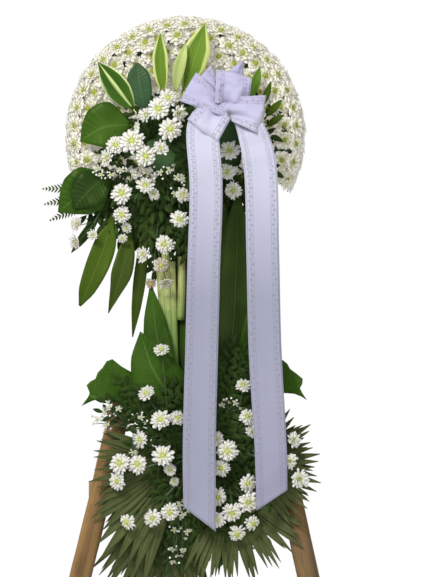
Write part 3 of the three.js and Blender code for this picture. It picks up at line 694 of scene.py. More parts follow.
PACKED_TWO = bloom("bloom_packed_two", 6, [(16, 1.08, 0.22, 0.26, 0.35), (14, 0.84, 0.20, 0.40, 0.2),
                                           (9, 0.54, 0.16, 0.54, 0.1)], 0.26)
FLORET = bloom("bloom_floret", 12, [(5, 1.0, 0.26, 0.35, 0.3), (3, 0.6, 0.2, 0.9, 0.2)], 0.22)


def set_bloom(form, kind, centre, facing, radius, spin, age):
    """Puts a copy of a bloom into a piece."""
    before = len(form.verts)
    form.from_mesh(kind)
    form.verts.ensure_lookup_table()
    fresh = form.verts[before:]
    turn = Vector(facing).to_track_quat("Z", "Y").to_matrix().to_4x4()
    bmesh.ops.transform(form, verts=fresh, matrix=Matrix.Translation(centre) @ turn
                        @ Matrix.Rotation(spin, 4, "Z") @ Matrix.Scale(radius, 4))
    ages = form.verts.layers.float["Age"]
    for vert in fresh:
        vert[ages] = age


# %% [markdown]
# ## Sprays of mums
# A florist pushes a whole branch into the foam, so a spray is a stem that parts at a hub, with one
# bloom on each thin stem. Each bloom below is its place, its width and, where it looks aside, the
# way it faces. A few are older: cream, faded or quite brown.

# %% Spray positions
PAD_FRONT = -190.4
PAD_DEEP = PAD_FRONT + 25
PAD_SHALLOW = PAD_FRONT + 20
BLOCK_FRONT = -262
SPRAYS = {
    "MumSprayTop": [(-68, -240, 1425), (-55, PAD_DEEP, 1410), [
        (-85, -292, 1452, 60), (-62, -276, 1480, 50), (-38, -284, 1442, 50, (0.7, -1, 0)),
        (-56, -302, 1402, 60), (-116, -272, 1438, 45, (-0.8, -1, 0.2))]],
    "MumSprayLeft": [(-140, -246, 1340), (-110, PAD_DEEP, 1345), [
        (-152, -296, 1372, 64), (-192, -280, 1362, 50), (-118, -300, 1334, 56),
        (-82, -292, 1353, 46, (0.3, -1, 0.3)), (-212, -272, 1330, 50, (-0.9, -1, 0.1))]],
    "MumSprayLower": [(-146, -232, 1225), (-120, PAD_DEEP, 1285), [
        (-178, -284, 1242, 56), (-120, -274, 1262, 46), (-98, -262, 1240, 32),
        (-178, -278, 1188, 46), (-166, -262, 1156, 28), (-176, -256, 1130, 26)]],
    "MumSprayInner": [(-34, -236, 1212), (-30, PAD_DEEP, 1285), [
        (-34, -282, 1178, 46), (-26, -270, 1238, 40)]],
    "MumSprayOuter": [(-246, -236, 1172), (-190, PAD_DEEP, 1290), [
        (-286, -262, 1164, 46, (-1, -0.8, 0.2)), (-290, -256, 1122, 46, (-1, -0.7, -0.2)),
        (-250, -254, 1138, 32, (-0.4, -1, 0))]],
    "MumSprayDrooping": [(-92, -226, 1120), (-80, PAD_DEEP, 1285), [
        (-72, -272, 1114, 50), (-122, -262, 1088, 46, (-0.8, -1, 0.1)), (-80, -262, 1062, 44),
        (-68, -256, 1022, 44, (0.1, -0.7, -0.8)), (-106, -250, 1016, 34, (-0.2, -0.8, -0.7))]],
    "MumSprayBetweenTails": [(92, -222, 1290), (90, PAD_DEEP, 1320), [
        (90, -262, 1348, 56), (86, -262, 1296, 44), (100, -258, 1250, 46)]],
    "MumSprayLowBack": [(-58, -278, 640), (-40, BLOCK_FRONT + 30, 626), [
        (-80, -302, 676, 52), (-38, -296, 680, 42), (-132, -300, 626, 44), (-116, -300, 742, 44),
        (-78, -298, 850, 46)]],
    "MumSprayLowMiddle": [(-40, -292, 566), (-16, BLOCK_FRONT + 20, 578), [
        (-74, -322, 587, 56), (-56, -312, 552, 34), (-46, -300, 522, 26)]],
    "MumSprayLowLeft": [(-112, -316, 560), (10, BLOCK_FRONT + 14, 592), [
        (-182, -318, 568, 56), (-138, -322, 566, 50), (-188, -312, 524, 46)]],
    "MumSprayLowUpperRight": [(104, BLOCK_FRONT - 8, 640), (90, BLOCK_FRONT + 30, 620), [
        (126, -302, 762, 42), (136, -302, 684, 44), (152, -298, 648, 42)]],
    "MumSprayLowCentre": [(70, BLOCK_FRONT - 8, 590), (60, BLOCK_FRONT + 30, 590), [
        (86, -324, 598, 56), (70, -316, 556, 46), (56, -312, 628, 46)]],
    "MumSprayLowFront": [(90, BLOCK_FRONT - 8, 530), (80, BLOCK_FRONT + 30, 545), [
        (62, -322, 484, 50), (137, -326, 472, 56), (137, -316, 518, 46), (98, -330, 446, 52),
        (58, -324, 430, 50), (110, -316, 392, 52, (0.1, -1, -0.6)),
        (150, -318, 418, 46, (0.6, -1, -0.4))]],
    "MumSprayLowDrooping": [(-64, -308, 490), (6, BLOCK_FRONT + 16, 560), [
        (-164, -322, 422, 48, (-0.6, -1, -0.3)), (-100, -322, 432, 46), (-58, -324, 446, 48)]],
    "MumSprayLowRight": [(180, -316, 580), (102, BLOCK_FRONT + 16, 598), [
        (248, -328, 626, 46, (0.7, -1, 0.2)), (262, -331, 530, 58, (0.6, -1, -0.1)),
        (240, -334, 574, 46, (0.5, -1, 0))]],
}
AGES = {(-80, 1062): 0.55, (-68, 1022): 0.3, (-106, 1016): 0.95, (-290, 1122): 0.22,
        (-286, 1164): 0.18, (-26, 1238): 0.2, (-56, 1402): 0.1}


# %% Build the sprays
RADIUS_OF_WIDTH = 0.00052


def stem(form, root, end, thick=1.1):
    """A thin green stem that leaves its root and bends to meet the bloom from behind."""
    middle = root.lerp(end, 0.5) + Vector((0, -0.15 * (end - root).length, 0)) * 0.3
    tube(form, curve([root, middle, end]), lambda t: thick * 0.001, 5, 2, paint=2)


def spray(name, hub, root, blooms, chance):
    form = begin()
    hub, root = at(*hub), at(*root)
    tube(form, curve([root, hub + (hub - root).normalized() * 0.006]), lambda t: 0.0028, 7, 1, paint=2)
    for x, y, z, width, *looks in blooms:
        centre = at(x, y, z)
        away = centre - hub
        facing = Vector(looks[0]) if looks else Vector((away.x * 6, -1, away.z * 6 + 0.12))
        age = AGES.get((x, z), chance.uniform(0, 0.06))
        kind = CUPPED if looks else chance.choice([OPEN, OPEN_TWO])
        if z < 450 and looks or age > 0.5:
            kind = DROOPED
        set_bloom(form, kind, centre, facing, width * RADIUS_OF_WIDTH, chance.random() * 6, age)
        stem(form, hub, centre - facing.normalized() * 0.006)
    keep(form, name + "_spray", [PETAL, EYE, STEM], "petal_white", name)


chance = random.Random(21)
for name, (hub, root, blooms) in SPRAYS.items():
    spray(name, hub, root, blooms, chance)

# %% [markdown]
# ## Filler florets
# Clouds of tiny white florets fill the gaps between the mums. They are the same bloom in small, with
# eight petals, on stems as thin as wire. Smaller florets and closed buds stand around each one.

# %% Floret positions
FLORETS = {
    "FloretSprayUpperLeft": [(-170, -225, 1300), (-150, PAD_SHALLOW, 1310), [
        (-236, -268, 1305), (-229, -270, 1288), (-205, -272, 1288), (-180, -276, 1300),
        (-150, -282, 1293)]],
    "FloretSprayUpperRight": [(-70, -224, 1290), (-60, PAD_SHALLOW, 1310), [
        (-118, -268, 1296), (-82, -278, 1294), (-60, -276, 1300), (-40, -272, 1283), (-27, -270, 1275),
        (-46, -262, 1242)]],
    "FloretSprayLowTop": [(40, BLOCK_FRONT - 8, 655), (40, BLOCK_FRONT + 25, 640), [
        (72, -298, 712), (105, -296, 716), (14, -292, 700)]],
    "FloretSprayLowLeft": [(-150, -290, 655), (-66, BLOCK_FRONT + 25, 642), [
        (-130, -306, 682), (-220, -306, 692), (-208, -310, 706), (-184, -306, 702), (-238, -302, 676),
        (-214, -304, 664), (-150, -316, 596)]],
    "FloretSprayLowBottom": [(-26, -292, 470), (0, BLOCK_FRONT + 20, 536), [
        (-25, -300, 352), (-52, -298, 354), (-50, -300, 322), (-15, -302, 396), (-46, -300, 402),
        (-34, -304, 464), (-24, -306, 440)]],
}


# %% Build the florets
FLORET_RADIUS, SMALL_RADIUS, BUD_RADIUS = 0.0105, 0.006, 0.0026


def bud(form, centre):
    ball = bmesh.ops.create_icosphere(form, subdivisions=1, radius=BUD_RADIUS)
    for vert in ball["verts"]:
        vert.co = vert.co * (1 + 0.3 * (vert.co.z > 0)) + centre
    chart = form.loops.layers.uv["Chart"]
    for face in faces_of(ball["verts"]):
        face.material_index = 0
        for loop in face.loops:
            loop[chart].uv = (0.5, 0.85)


def floret_spray(name, hub, root, spots, chance):
    form = begin()
    hub, root = at(*hub), at(*root)
    tube(form, curve([root, hub + (hub - root).normalized() * 0.005]), lambda t: 0.0022, 6, 1, paint=2)
    for x, y, z in spots:
        centre = at(x, y, z)
        facing = Vector(((x / 1000 - hub.x) * 10, -1, (z / 1000 - hub.z) * 10 + 0.2))
        set_bloom(form, FLORET, centre, facing, FLORET_RADIUS, chance.random() * 6,
                  chance.uniform(0, 0.15))
        stem(form, hub, centre, 0.7)
        for _ in range(4):
            near = centre + Vector((chance.uniform(-1, 1) * 0.016, chance.uniform(0, 1) * 0.010,
                                    chance.uniform(-1, 1) * 0.016))
            stem(form, hub.lerp(centre, 0.6), near, 0.5)
            if chance.random() < 0.5:
                set_bloom(form, FLORET, near, facing, SMALL_RADIUS, chance.random() * 6, 0.1)
            else:
                bud(form, near)
    keep(form, name + "_spray", [PETAL, EYE, STEM], "petal_white", name)


for name, (hub, root, spots) in FLORETS.items():
    floret_spray(name, hub, root, spots, chance)

# %% [markdown]
# ## Leaves round the head and in the lower bunch
# Each leaf is one blade on a stalk. The first place of its spine is the stalk's root in the foam and
# the rest is the blade. The half widths follow at equal steps from foot to tip, then the finish.

# %% Leaf positions
LEAVES = {
    "PaleStrapLeaf": [[(-66, PAD_SHALLOW, 1440), (-76, -226, 1500), (-82, -238, 1570), (-82, -238, 1645)],
                      [5, 15, 19, 19, 12, 1], LEAF_STRIPED, {"fold": 0.35}],
    "StripedLeafLeft": [[(-112, PAD_SHALLOW, 1405), (-150, -226, 1455), (-196, -240, 1515),
                         (-238, -240, 1572)], [5, 22, 30, 28, 17, 1], LEAF_STRIPED_DARK, {"fold": 0.35}],
    "RoundLeafDark": [[(-100, PAD_SHALLOW, 1410), (-122, -224, 1455), (-134, -236, 1515),
                       (-140, -232, 1570)], [6, 24, 29, 30, 24, 4], LEAF_BLUISH, {"fold": 0.12}],
    "BroadLeafUpper": [[(-125, PAD_SHALLOW, 1375), (-158, -224, 1416), (-224, -240, 1408),
                        (-283, -238, 1374)], [5, 40, 62, 56, 32, 1], LEAF_GREEN, {"fold": 0.14, "wave": 3}],
    "BroadLeafLower": [[(-150, PAD_SHALLOW, 1300), (-205, -224, 1285), (-275, -240, 1245),
                        (-338, -236, 1196)], [5, 38, 60, 56, 33, 1], LEAF_GREEN, {"fold": 0.14, "wave": 3}],
    "SlenderLeafA": [[(120, PAD_SHALLOW, 1430), (140, -224, 1480), (156, -234, 1520), (168, -234, 1560)],
                     [3, 11, 13, 9, 1], LEAF_FRESH, {"fold": 0.3}],
    "HangingLeafOuter": [[(-176, PAD_SHALLOW, 1290), (-200, -224, 1190), (-229, -236, 1090),
                          (-284, -240, 960)], [4, 10, 24, 29, 30, 27, 20, 3], LEAF_LANCE,
                         {"fold": 0.2, "wave": 2}],
    "HangingLeafMiddle": [[(-140, PAD_SHALLOW, 1290), (-158, -222, 1180), (-172, -240, 1070),
                           (-212, -250, 942)], [4, 9, 22, 26, 14, 1], LEAF_LANCE_DARK,
                          {"fold": 0.25, "wave": 1}],
    "HangingLeafInner": [[(-112, PAD_SHALLOW, 1290), (-118, -214, 1180), (-130, -218, 1060),
                          (-152, -226, 882)], [4, 8, 14, 16, 12, 1], LEAF_LANCE_DARK,
                         {"fold": 0.25, "wave": 1}],
    "SmallLeafLeft": [[(-206, PAD_SHALLOW, 1282), (-226, -202, 1212), (-264, -208, 1150),
                       (-306, -216, 1094)], [3, 7, 11, 12, 9, 1], LEAF_DARK, {"fold": 0.25}],
    "TallLeafCentre": [[(14, -218, 630), (18, -216, 668), (36, -204, 860), (48, -202, 1080),
                        (60, -212, 1246)], [6, 50, 70, 72, 62, 46, 8], LEAF_TALL, {"fold": 0.1, "wave": 2}],
    "TallLeafRight": [[(70, -226, 630), (74, -228, 668), (96, -230, 850), (108, -230, 1040),
                       (112, -236, 1236)], [6, 40, 54, 54, 48, 36, 6], LEAF_TALL, {"fold": 0.1, "wave": 2}],
    "TallLeafOuter": [[(96, -240, 630), (102, -242, 668), (130, -246, 760), (150, -244, 880),
                       (158, -240, 1010)], [6, 26, 36, 34, 22, 1], LEAF_GREEN, {"fold": 0.16, "wave": 2}],
    "BroadLeafMiddle": [[(-36, -244, 630), (-44, -248, 668), (-66, -262, 740), (-104, -272, 810),
                         (-132, -268, 896)], [6, 50, 64, 60, 40, 1], LEAF_GREEN, {"fold": 0.12, "wave": 2}],
    "TallLeafShort": [[(30, -246, 630), (33, -250, 668), (40, -262, 740), (52, -268, 830),
                       (48, -262, 930)], [6, 28, 40, 36, 20, 1], LEAF_DARK, {"fold": 0.16, "wave": 2}],
}


# %% Build the leaves
STALK_RADIUS = 0.0024
SECOND_LEAVES = {
    "BroadLeafMiddle": [
        [[(-36, -244, 630), (-46, -240, 668), (-66, -241, 760), (-90, -240, 880), (-106, -238, 1010)],
         [5, 24, 34, 36, 26, 3], {"fold": 0.1, "wave": 1.5}],
        [[(-36, -244, 630), (-34, -206, 700), (-32, -188, 800), (-34, -184, 960), (-38, -180, 1110)],
         [5, 24, 28, 27, 22, 3], {"fold": 0.1, "wave": 1.5, "paint": 1}]],
    "BroadLeafLower": [
        [[(-150, PAD_SHALLOW, 1300), (-212, -232, 1288), (-258, -251, 1252), (-300, -252, 1204)],
         [5, 30, 45, 44, 28, 2], {"fold": 0.16, "wave": 3, "paint": 1}]],
}


def leaf(form, spine, widths, options):
    root, foot = at(*spine[0]), at(*spine[1])
    tube(form, curve([root, root.lerp(foot, 0.5), foot]), lambda t: STALK_RADIUS, 6, 1)
    blade(form, spine[1:], widths, **options)


for name, (spine, widths, finish, options) in LEAVES.items():
    form = begin()
    leaf(form, spine, widths, options)
    for second in SECOND_LEAVES.get(name, []):
        leaf(form, *second)
    slot = "leaf_dark" if finish in (LEAF_DARK, LEAF_TALL) else "leaf_green"
    keep(form, name + "_leaf", [finish, LEAF_DARK], slot, name)

# %% Leaves in groups
form = begin()
leaf(form, [(-40, PAD_SHALLOW, 1430), (-22, -226, 1500), (6, -244, 1585), (30, -246, 1668)],
     [5, 20, 33, 33, 20, 1], {"fold": 0.3})
leaf(form, [(-40, PAD_SHALLOW, 1430), (-44, -234, 1500), (-34, -252, 1560), (-17, -262, 1618)],
     [4, 12, 15, 12, 1], {"fold": 0.4, "paint": 1})
keep(form, "StripedLeafTall_leaf", [LEAF_STRIPED, LEAF_PALE], "leaf_striped", "StripedLeafTall")

form = begin()
for ends in ([(-116, -166, 1190), (-154, -166, 1092)], [(-74, -148, 1170), (-84, -142, 1058)],
             [(-36, -134, 1180), (-18, -134, 1084)]):
    leaf(form, [(-70, -150, 1292), (-70, -150, 1264), *ends], [4, 24, 44, 38, 20, 1], {"fold": 0.1})
keep(form, "HangingLeavesDark_leaves", [LEAF_DARK], "leaf_dark", "HangingLeavesDark")

form = begin()
for ends in ([(174, -222, 1462), (186, -230, 1495), (196, -232, 1524)],
             [(186, -222, 1438), (206, -228, 1460), (223, -228, 1478)],
             [(188, -222, 1414), (208, -228, 1428), (228, -230, 1440)]):
    leaf(form, [(158, PAD_SHALLOW, 1400), *ends], [3, 8, 9, 6, 1], {"fold": 0.3, "columns": 4})
keep(form, "SlenderLeavesSide_leaves", [LEAF_LANCE], "leaf_green", "SlenderLeavesSide")

# %% [markdown]
# ## Lobed leaves
# The two leaves beside the lower bunch have pointed corners with hollow sides between them. Such an
# outline is drawn once as a flat face, cut by a grid of planes so that it can bend, arched towards
# the front and given its thickness.

# %% Lobed leaves
GRID_STEP = 12


def lobed_leaf(name, root, foot, outline, reach):
    form = begin()
    chart = form.loops.layers.uv["Chart"]
    tube(form, curve([at(*root), at(*root).lerp(at(*foot), 0.5), at(*foot)]), lambda t: 0.003, 7, 1)
    corners = [form.verts.new(at(x, 0, z)) for x, z in outline]
    form.faces.new(corners)
    flat = corners
    for axis, span in ((0, 240), (2, 200)):
        for step in range(-span, span, GRID_STEP):
            faces = faces_of(flat)
            edges = list({edge for face in faces for edge in face.edges})
            verts = list({vert for face in faces for vert in face.verts})
            where = Vector((step * 0.001, 0, 0)) if axis == 0 else Vector((0, 0, step * 0.001))
            bmesh.ops.bisect_plane(form, geom=[*verts, *edges, *faces], plane_co=where,
                                   plane_no=(1, 0, 0) if axis == 0 else (0, 0, 1))
            flat = [vert for vert in form.verts if vert.co.y > -0.05]
    faces = faces_of(flat)
    for face in faces:
        for loop in face.loops:
            spot = loop.vert.co
            turn = math.atan2(spot.z, abs(spot.x))
            loop[chart].uv = (turn * 1.4 % 1, spot.length / reach)
    for vert in flat:
        x, z = vert.co.x, vert.co.z
        out = 0.3 * x * x + 0.12 * abs(x) + 0.004 * math.sin(x * 40 + z * 22)
        vert.co = Vector((x, -out, z)) + at(*foot)
    thicken(form, faces, 0.0009)
    keep(form, name + "_leaf", [LEAF_GREEN], "leaf_green", name)


LOBES_LEFT = [(3, 0), (-10, 34), (-34, 66), (-60, 104), (-89, 131), (-112, 144), (-136, 163), (-150, 158),
              (-160, 142), (-172, 130), (-178, 114), (-190, 108), (-200, 98), (-196, 88), (-192, 78),
              (-198, 66), (-213, 46), (-188, 58), (-168, 64), (-140, 56), (-100, 52), (-62, 30), (-20, 0)]
LOBES_RIGHT = [(-3, 0), (4, 46), (20, 84), (40, 122), (66, 148), (88, 158), (113, 161), (124, 152),
               (132, 138), (146, 128), (163, 114), (162, 102), (156, 90), (162, 78), (174, 60), (158, 70),
               (142, 76), (116, 78), (80, 48), (46, 24), (16, 0)]
lobed_leaf("LobedLeafLeft", (-58, -236, 630), (-66, -240, 664), LOBES_LEFT, 0.22)
lobed_leaf("LobedLeafRight", (106, -228, 630), (112, -236, 664), LOBES_RIGHT, 0.2)

# %% [markdown]
# ## Fern tips
# Three fern fronds stick out at the left. Each has a thin rib with a row of narrow leaflets on both
# sides, longest in the middle, all lying in nearly one plane.

# %% Fern tips
form = begin()
fern_foot = at(-182, -208, 1258)
tube(form, curve([at(-168, PAD_FRONT + 15, 1284), fern_foot]), lambda t: 0.0035, 6, 1)
for number, turn in enumerate((3.16, 3.36, 3.58)):
    lean = 0.03 + number * 0.03
    heading = Vector((math.cos(turn), -lean, math.sin(turn)))
    start = fern_foot + Vector((0, number * 0.003 - 0.003, 0))
    rib = curve([start, start + heading * 0.1 + Vector((0, -0.001, 0)), start + heading * 0.2])
    tube(form, rib, lambda t: 0.0015 * (1 - 0.8 * t), 5, 4)
    for i in range(17):
        t = 0.25 + 0.72 * i / 16
        ahead, side, out = directions(rib, t, FRONT)
        for hand in (-1, 1):
            length = 0.021 * math.sin(math.pi * (0.22 + 0.74 * i / 16))
            aim = (ahead * 0.9 + side * hand).normalized() * length
            blade(form, [rib(t), rib(t) + aim * 0.5 + out * 0.001, rib(t) + aim], [1.2, 2.2, 1.8, 0.3],
                  columns=2, rows=3, thick=0.5)
keep(form, "FernTips_fronds", [LEAF_LANCE], "leaf_green", "FernTips")

# %% [markdown]
# ## Fan leaves
# A fan palm's leaf is pleated like paper and split into fingers near its edge. Each finger is one
# folded blade that runs from the hub to its own tip. Up to the split its width fills its share of
# the fan, so that neighbours meet, and from there it narrows to a point. A second, shorter layer of
# fingers lies just behind the first and fills the gaps between the tips.

# %% Fan leaves
FANS = {
    "FanLeafLeft": [(-40, -267, 572), 152, 256, 12, 238, 38, (-30, -240, 572)],
    "FanLeafBottomLeft": [(-52, -236, 505), 224, 290, 9, 290, 30, (-40, -222, 550)],
    "FanLeafBottomRight": [(84, -246, 505), 240, 336, 15, 226, 66, (60, -222, 550)],
    "FanLeafRight": [(136, -256, 562), -56, 54, 11, 178, 58, (104, -238, 566)],
}


def reach_at(name, angle, reach):
    """The left fan's upper fingers are short and its lower ones long."""
    if name != "FanLeafLeft":
        return reach
    return 205 + 95 * min(max((angle - 192) / 42, 0), 1)


def finger(form, hub, angle, length, half, forward, behind, chance):
    across = Vector((math.cos(angle), 0, math.sin(angle)))
    sway = chance.uniform(-7, 7)
    spine = []
    for step in range(6):
        part = step / 5
        bend = forward * part ** 1.2 - behind * min(part * 2, 1)
        spot = Vector(hub) + across * part * length + Vector((0, -bend, 0))
        spot += Vector((-across.z, 0, across.x)) * sway * part ** 3
        spine.append(tuple(spot + Vector((0, 0, -5 * part ** 3))))
    widths = [1.0, *[share * half for share in (0.16, 0.33, 0.5, 0.66, 0.74, 0.62, 0.36)], 0.5]
    blade(form, spine, widths, columns=4, rows=14, fold=0.42, thick=0.7)


def fan(name, hub, low, high, fingers, reach, forward, root, chance):
    form = begin()
    tube(form, curve([at(*root), at(*hub) + Vector((0, -0.004, 0))]), lambda t: 0.0038, 8, 1)
    for layer, (extra, behind, shorter) in enumerate(((8, 0, 1.0), (5, 11, 0.9))):
        number = fingers + extra
        share = (high - low) / number
        for i in range(number):
            angle = low + share * (i + 0.5 + layer * 0.5) + chance.uniform(-1, 1)
            length = reach_at(name, angle, reach) * shorter * (1 + 0.06 * math.sin(i * 4.7 + layer))
            length *= chance.uniform(0.95, 1.04)
            half = math.tan(math.radians(share / 2)) * length * 1.4
            part = begin()
            finger(part, hub, math.radians(angle), length, half, forward, behind, chance)
            join_in(form, part)
    if name == "FanLeafRight":
        leaf(form, [(136, -256, 562), (136, -252, 548), (142, -262, 510), (144, -275, 470),
                    (140, -286, 436)], [4, 18, 27, 27, 20, 1], {"fold": 0.1})
    keep(form, name + "_leaf", [LEAF_FAN], "leaf_green", name)


for name, (hub, low, high, fingers, reach, forward, root) in FANS.items():
    fan(name, hub, low, high, fingers, reach, forward, root, chance)

# %% [markdown]
# ## Sprigs of small leaves
# Between the mums a florist fills up with sprigs: a thin stem with small pointed leaves on both
# sides. They hide the foam and make the dark ground that the white blooms stand out from. Each
# sprig is rooted in the foam, and its leaves grow along it by rule, with seeded shifts in size and
# tilt. They are set in rings: each row of a table gives a ring's centre, its two angles, the number
# of sprigs, how far they reach, how far from the centre they start and how far their tips lean.

# %% Sprigs
def sprig(form, root, tip, chance, size):
    root, tip = at(*root), at(*tip)
    middle = root.lerp(tip, 0.45) + Vector((0, -0.006, 0.006))
    line = curve([root, middle, tip])
    long = (tip - root).length
    tube(form, line, lambda t: 0.0013 * (1 - 0.5 * t), 5, 3)
    number = max(int(long / 0.0125), 5)
    for i in range(number):
        t = 0.22 + 0.78 * i / (number - 1)
        ahead, side, out = directions(line, t, FRONT)
        hand = -1 if i % 2 else 1
        last = i == number - 1
        length = size * 0.002 * (1 - 0.25 * t) * chance.uniform(0.85, 1.15)
        aim = ahead if last else (ahead * 0.9 + side * hand * chance.uniform(0.7, 1.2)
                                  + out * chance.uniform(-0.2, 0.6)).normalized()
        start = line(t)
        sag = Vector((0, -0.002, -0.004)) * chance.uniform(0, 1.5)
        half = length * 190
        blade(form, [start, start + aim * length * 0.5, start + aim * length + sag],
              [0.8, half * 0.8, half, half * 0.75, 0.4], columns=2, rows=6, fold=0.25, thick=0.6)


def sprigs(name, rows, seed, size, finish):
    chance = random.Random(seed)
    form = begin()
    for root, tip in rows:
        part = begin()
        sprig(part, root, tip, chance, size)
        join_in(form, part)
    keep(form, name, [finish], "leaf_dark")


def ring_of(centre, low, high, count, reach, root_share, front, chance):
    """Sprigs that spread from a centre between two angles."""
    rows = []
    for i in range(count):
        angle = math.radians(low + (high - low) * (i + chance.uniform(0.2, 0.8)) / count)
        across = Vector((math.cos(angle), 0, math.sin(angle)))
        length = reach * chance.uniform(0.85, 1.1)
        root = Vector(centre) + across * root_share
        tip = Vector(centre) + across * length + Vector((0, front + chance.uniform(-8, 8), 0))
        rows.append((tuple(root), tuple(tip)))
    return rows


# %% Sprigs of the lower bunch
LOWER_RINGS = [
    ((30, -258, 585), 58, 90, 6, 260, 20, -16),
    ((30, -258, 585), 94, 124, 6, 185, 20, -20),
    ((30, -258, 585), 132, 158, 6, 260, 20, -16),
    ((40, -252, 575), -42, 4, 8, 190, 20, -16),
    ((20, -258, 575), 50, 178, 15, 165, 15, -26),
    ((20, -258, 575), 185, 355, 17, 150, 15, -26),
    ((10, -258, 560), 200, 340, 15, 235, 20, -18),
    ((30, -258, 585), 0, 60, 9, 190, 20, -18),
    ((6, -258, 530), 252, 292, 6, 175, 20, -14),
]

chance = random.Random(3)
rows = [row for ring in LOWER_RINGS for row in ring_of(*ring, chance)]
sprigs("SprigsLower_leaves", rows, 11, 21, LEAF_SPRIG)

# %% Sprigs of the upper bunch
UPPER_RINGS = [
    ((-90, -175, 1350), 20, 200, 15, 115, 12, -40),
    ((-90, -175, 1330), 180, 350, 17, 130, 12, -46),
    ((-90, -175, 1310), 195, 300, 10, 195, 14, -42),
    ((-60, -160, 1290), 252, 292, 6, 235, 12, -58),
    ((80, -175, 1340), 200, 345, 13, 120, 12, -40),
    ((80, -175, 1320), 235, 300, 7, 190, 12, -30),
    ((100, -175, 1400), -30, 60, 6, 100, 12, -30),
    ((92, -170, 1300), 252, 288, 5, 130, 12, -14),
    ((-150, -175, 1290), 205, 290, 9, 150, 12, -40),
]

rows = [row for ring in UPPER_RINGS for row in ring_of(*ring, chance)]
sprigs("SprigsUpper_leaves", rows, 12, 22, LEAF_SPRIG)

# %% [markdown]
# ## Pale stalks
# A handful of thick pale stalks stands behind the drooping mums. They are ribbed like celery, pale
# yellow-green above and greener towards the foam.

# %% Pale stalks
def stalk_finish():
    finish = Finish("stalk_pale", Roughness=0.5)
    across, _ = finish.chart()
    height = finish.node("ShaderNodeSeparateXYZ", {0: finish.place()}, out=2)
    low = ((1.02 - height) * 9).clamp()
    rib = (across * 88).wave() * 0.5 + 0.5
    pale = finish.mix(rib, (0.17, 0.22, 0.045), (0.56, 0.57, 0.23))
    finish.colour(finish.mix(low, pale, (0.16, 0.26, 0.05)))
    finish.bump(rib, 0.001, 0.7)
    return finish.material


form = begin()
chart = form.loops.layers.uv["Chart"]
for i, top in enumerate([(-86, -212, 1080), (-70, -222, 1096), (-54, -214, 1072), (-66, -202, 1088),
                         (-29, -214, 1084)]):
    foot = (-56 + i * 6, -212 + (i % 2) * 6, 620 if i < 4 else 925)
    line = curve([at(*foot), at(*foot).lerp(at(*top), 0.5) + Vector((0.002, -0.001, 0)), at(*top)])
    verts = tube(form, line, lambda t: 0.0105 - 0.001 * t, 16, 12)
    for face in faces_of(verts):
        for loop in face.loops:
            spot = loop.vert.co
            loop[chart].uv = (math.atan2(spot.y - face.calc_center_median().y, 0.01) / 6 + 0.5, spot.z)
keep(form, "StalkBundle_stalks", [stalk_finish()], "stalk_pale", "StalkBundle")

# %% [markdown]
# ## The head
# The head is a half-moon of foam with mums pushed in side by side. On the face they follow six
# arcs, each a step inside the one before, and round the rim three more. Along every arc the step is
# even, and a small seeded shift keeps two blooms from sitting alike. Where the leaves and the bow
# hide the foam there are none. The pad itself is a disc cut straight below and drawn out.

# %% The pad
HEAD = at(-20, PAD_FRONT, 1390)
HEAD_RADIUS = 0.277
PAD_BACK = Vector((-0.02, -0.1124, 1.39))
PAD_CUT = 1.268


def pad(form):
    disc = bmesh.ops.create_circle(form, cap_ends=True, segments=72, radius=HEAD_RADIUS)
    upright = Matrix.Translation(PAD_BACK) @ Matrix.Rotation(math.radians(90), 4, "X")
    bmesh.ops.transform(form, verts=disc["verts"], matrix=upright)
    everything = [*form.verts, *form.edges, *form.faces]
    bmesh.ops.bisect_plane(form, geom=everything, plane_co=(0, 0, PAD_CUT), plane_no=(0, 0, 1),
                           clear_inner=True)
    drawn = bmesh.ops.extrude_face_region(form, geom=list(form.faces))
    front = [item for item in drawn["geom"] if isinstance(item, bmesh.types.BMVert)]
    bmesh.ops.translate(form, verts=front, vec=(0, -0.066, 0))
    cap = max(form.faces, key=lambda face: -face.calc_center_median().y)
    bmesh.ops.inset_region(form, faces=[cap], thickness=0.014)
    bmesh.ops.translate(form, verts=list(cap.verts), vec=(0, -0.012, 0))
    for face in form.faces:
        face.material_index = 3


# %% Mums in arcs
HEAD_STEP = 0.0425
RIM_STEP = 0.0455


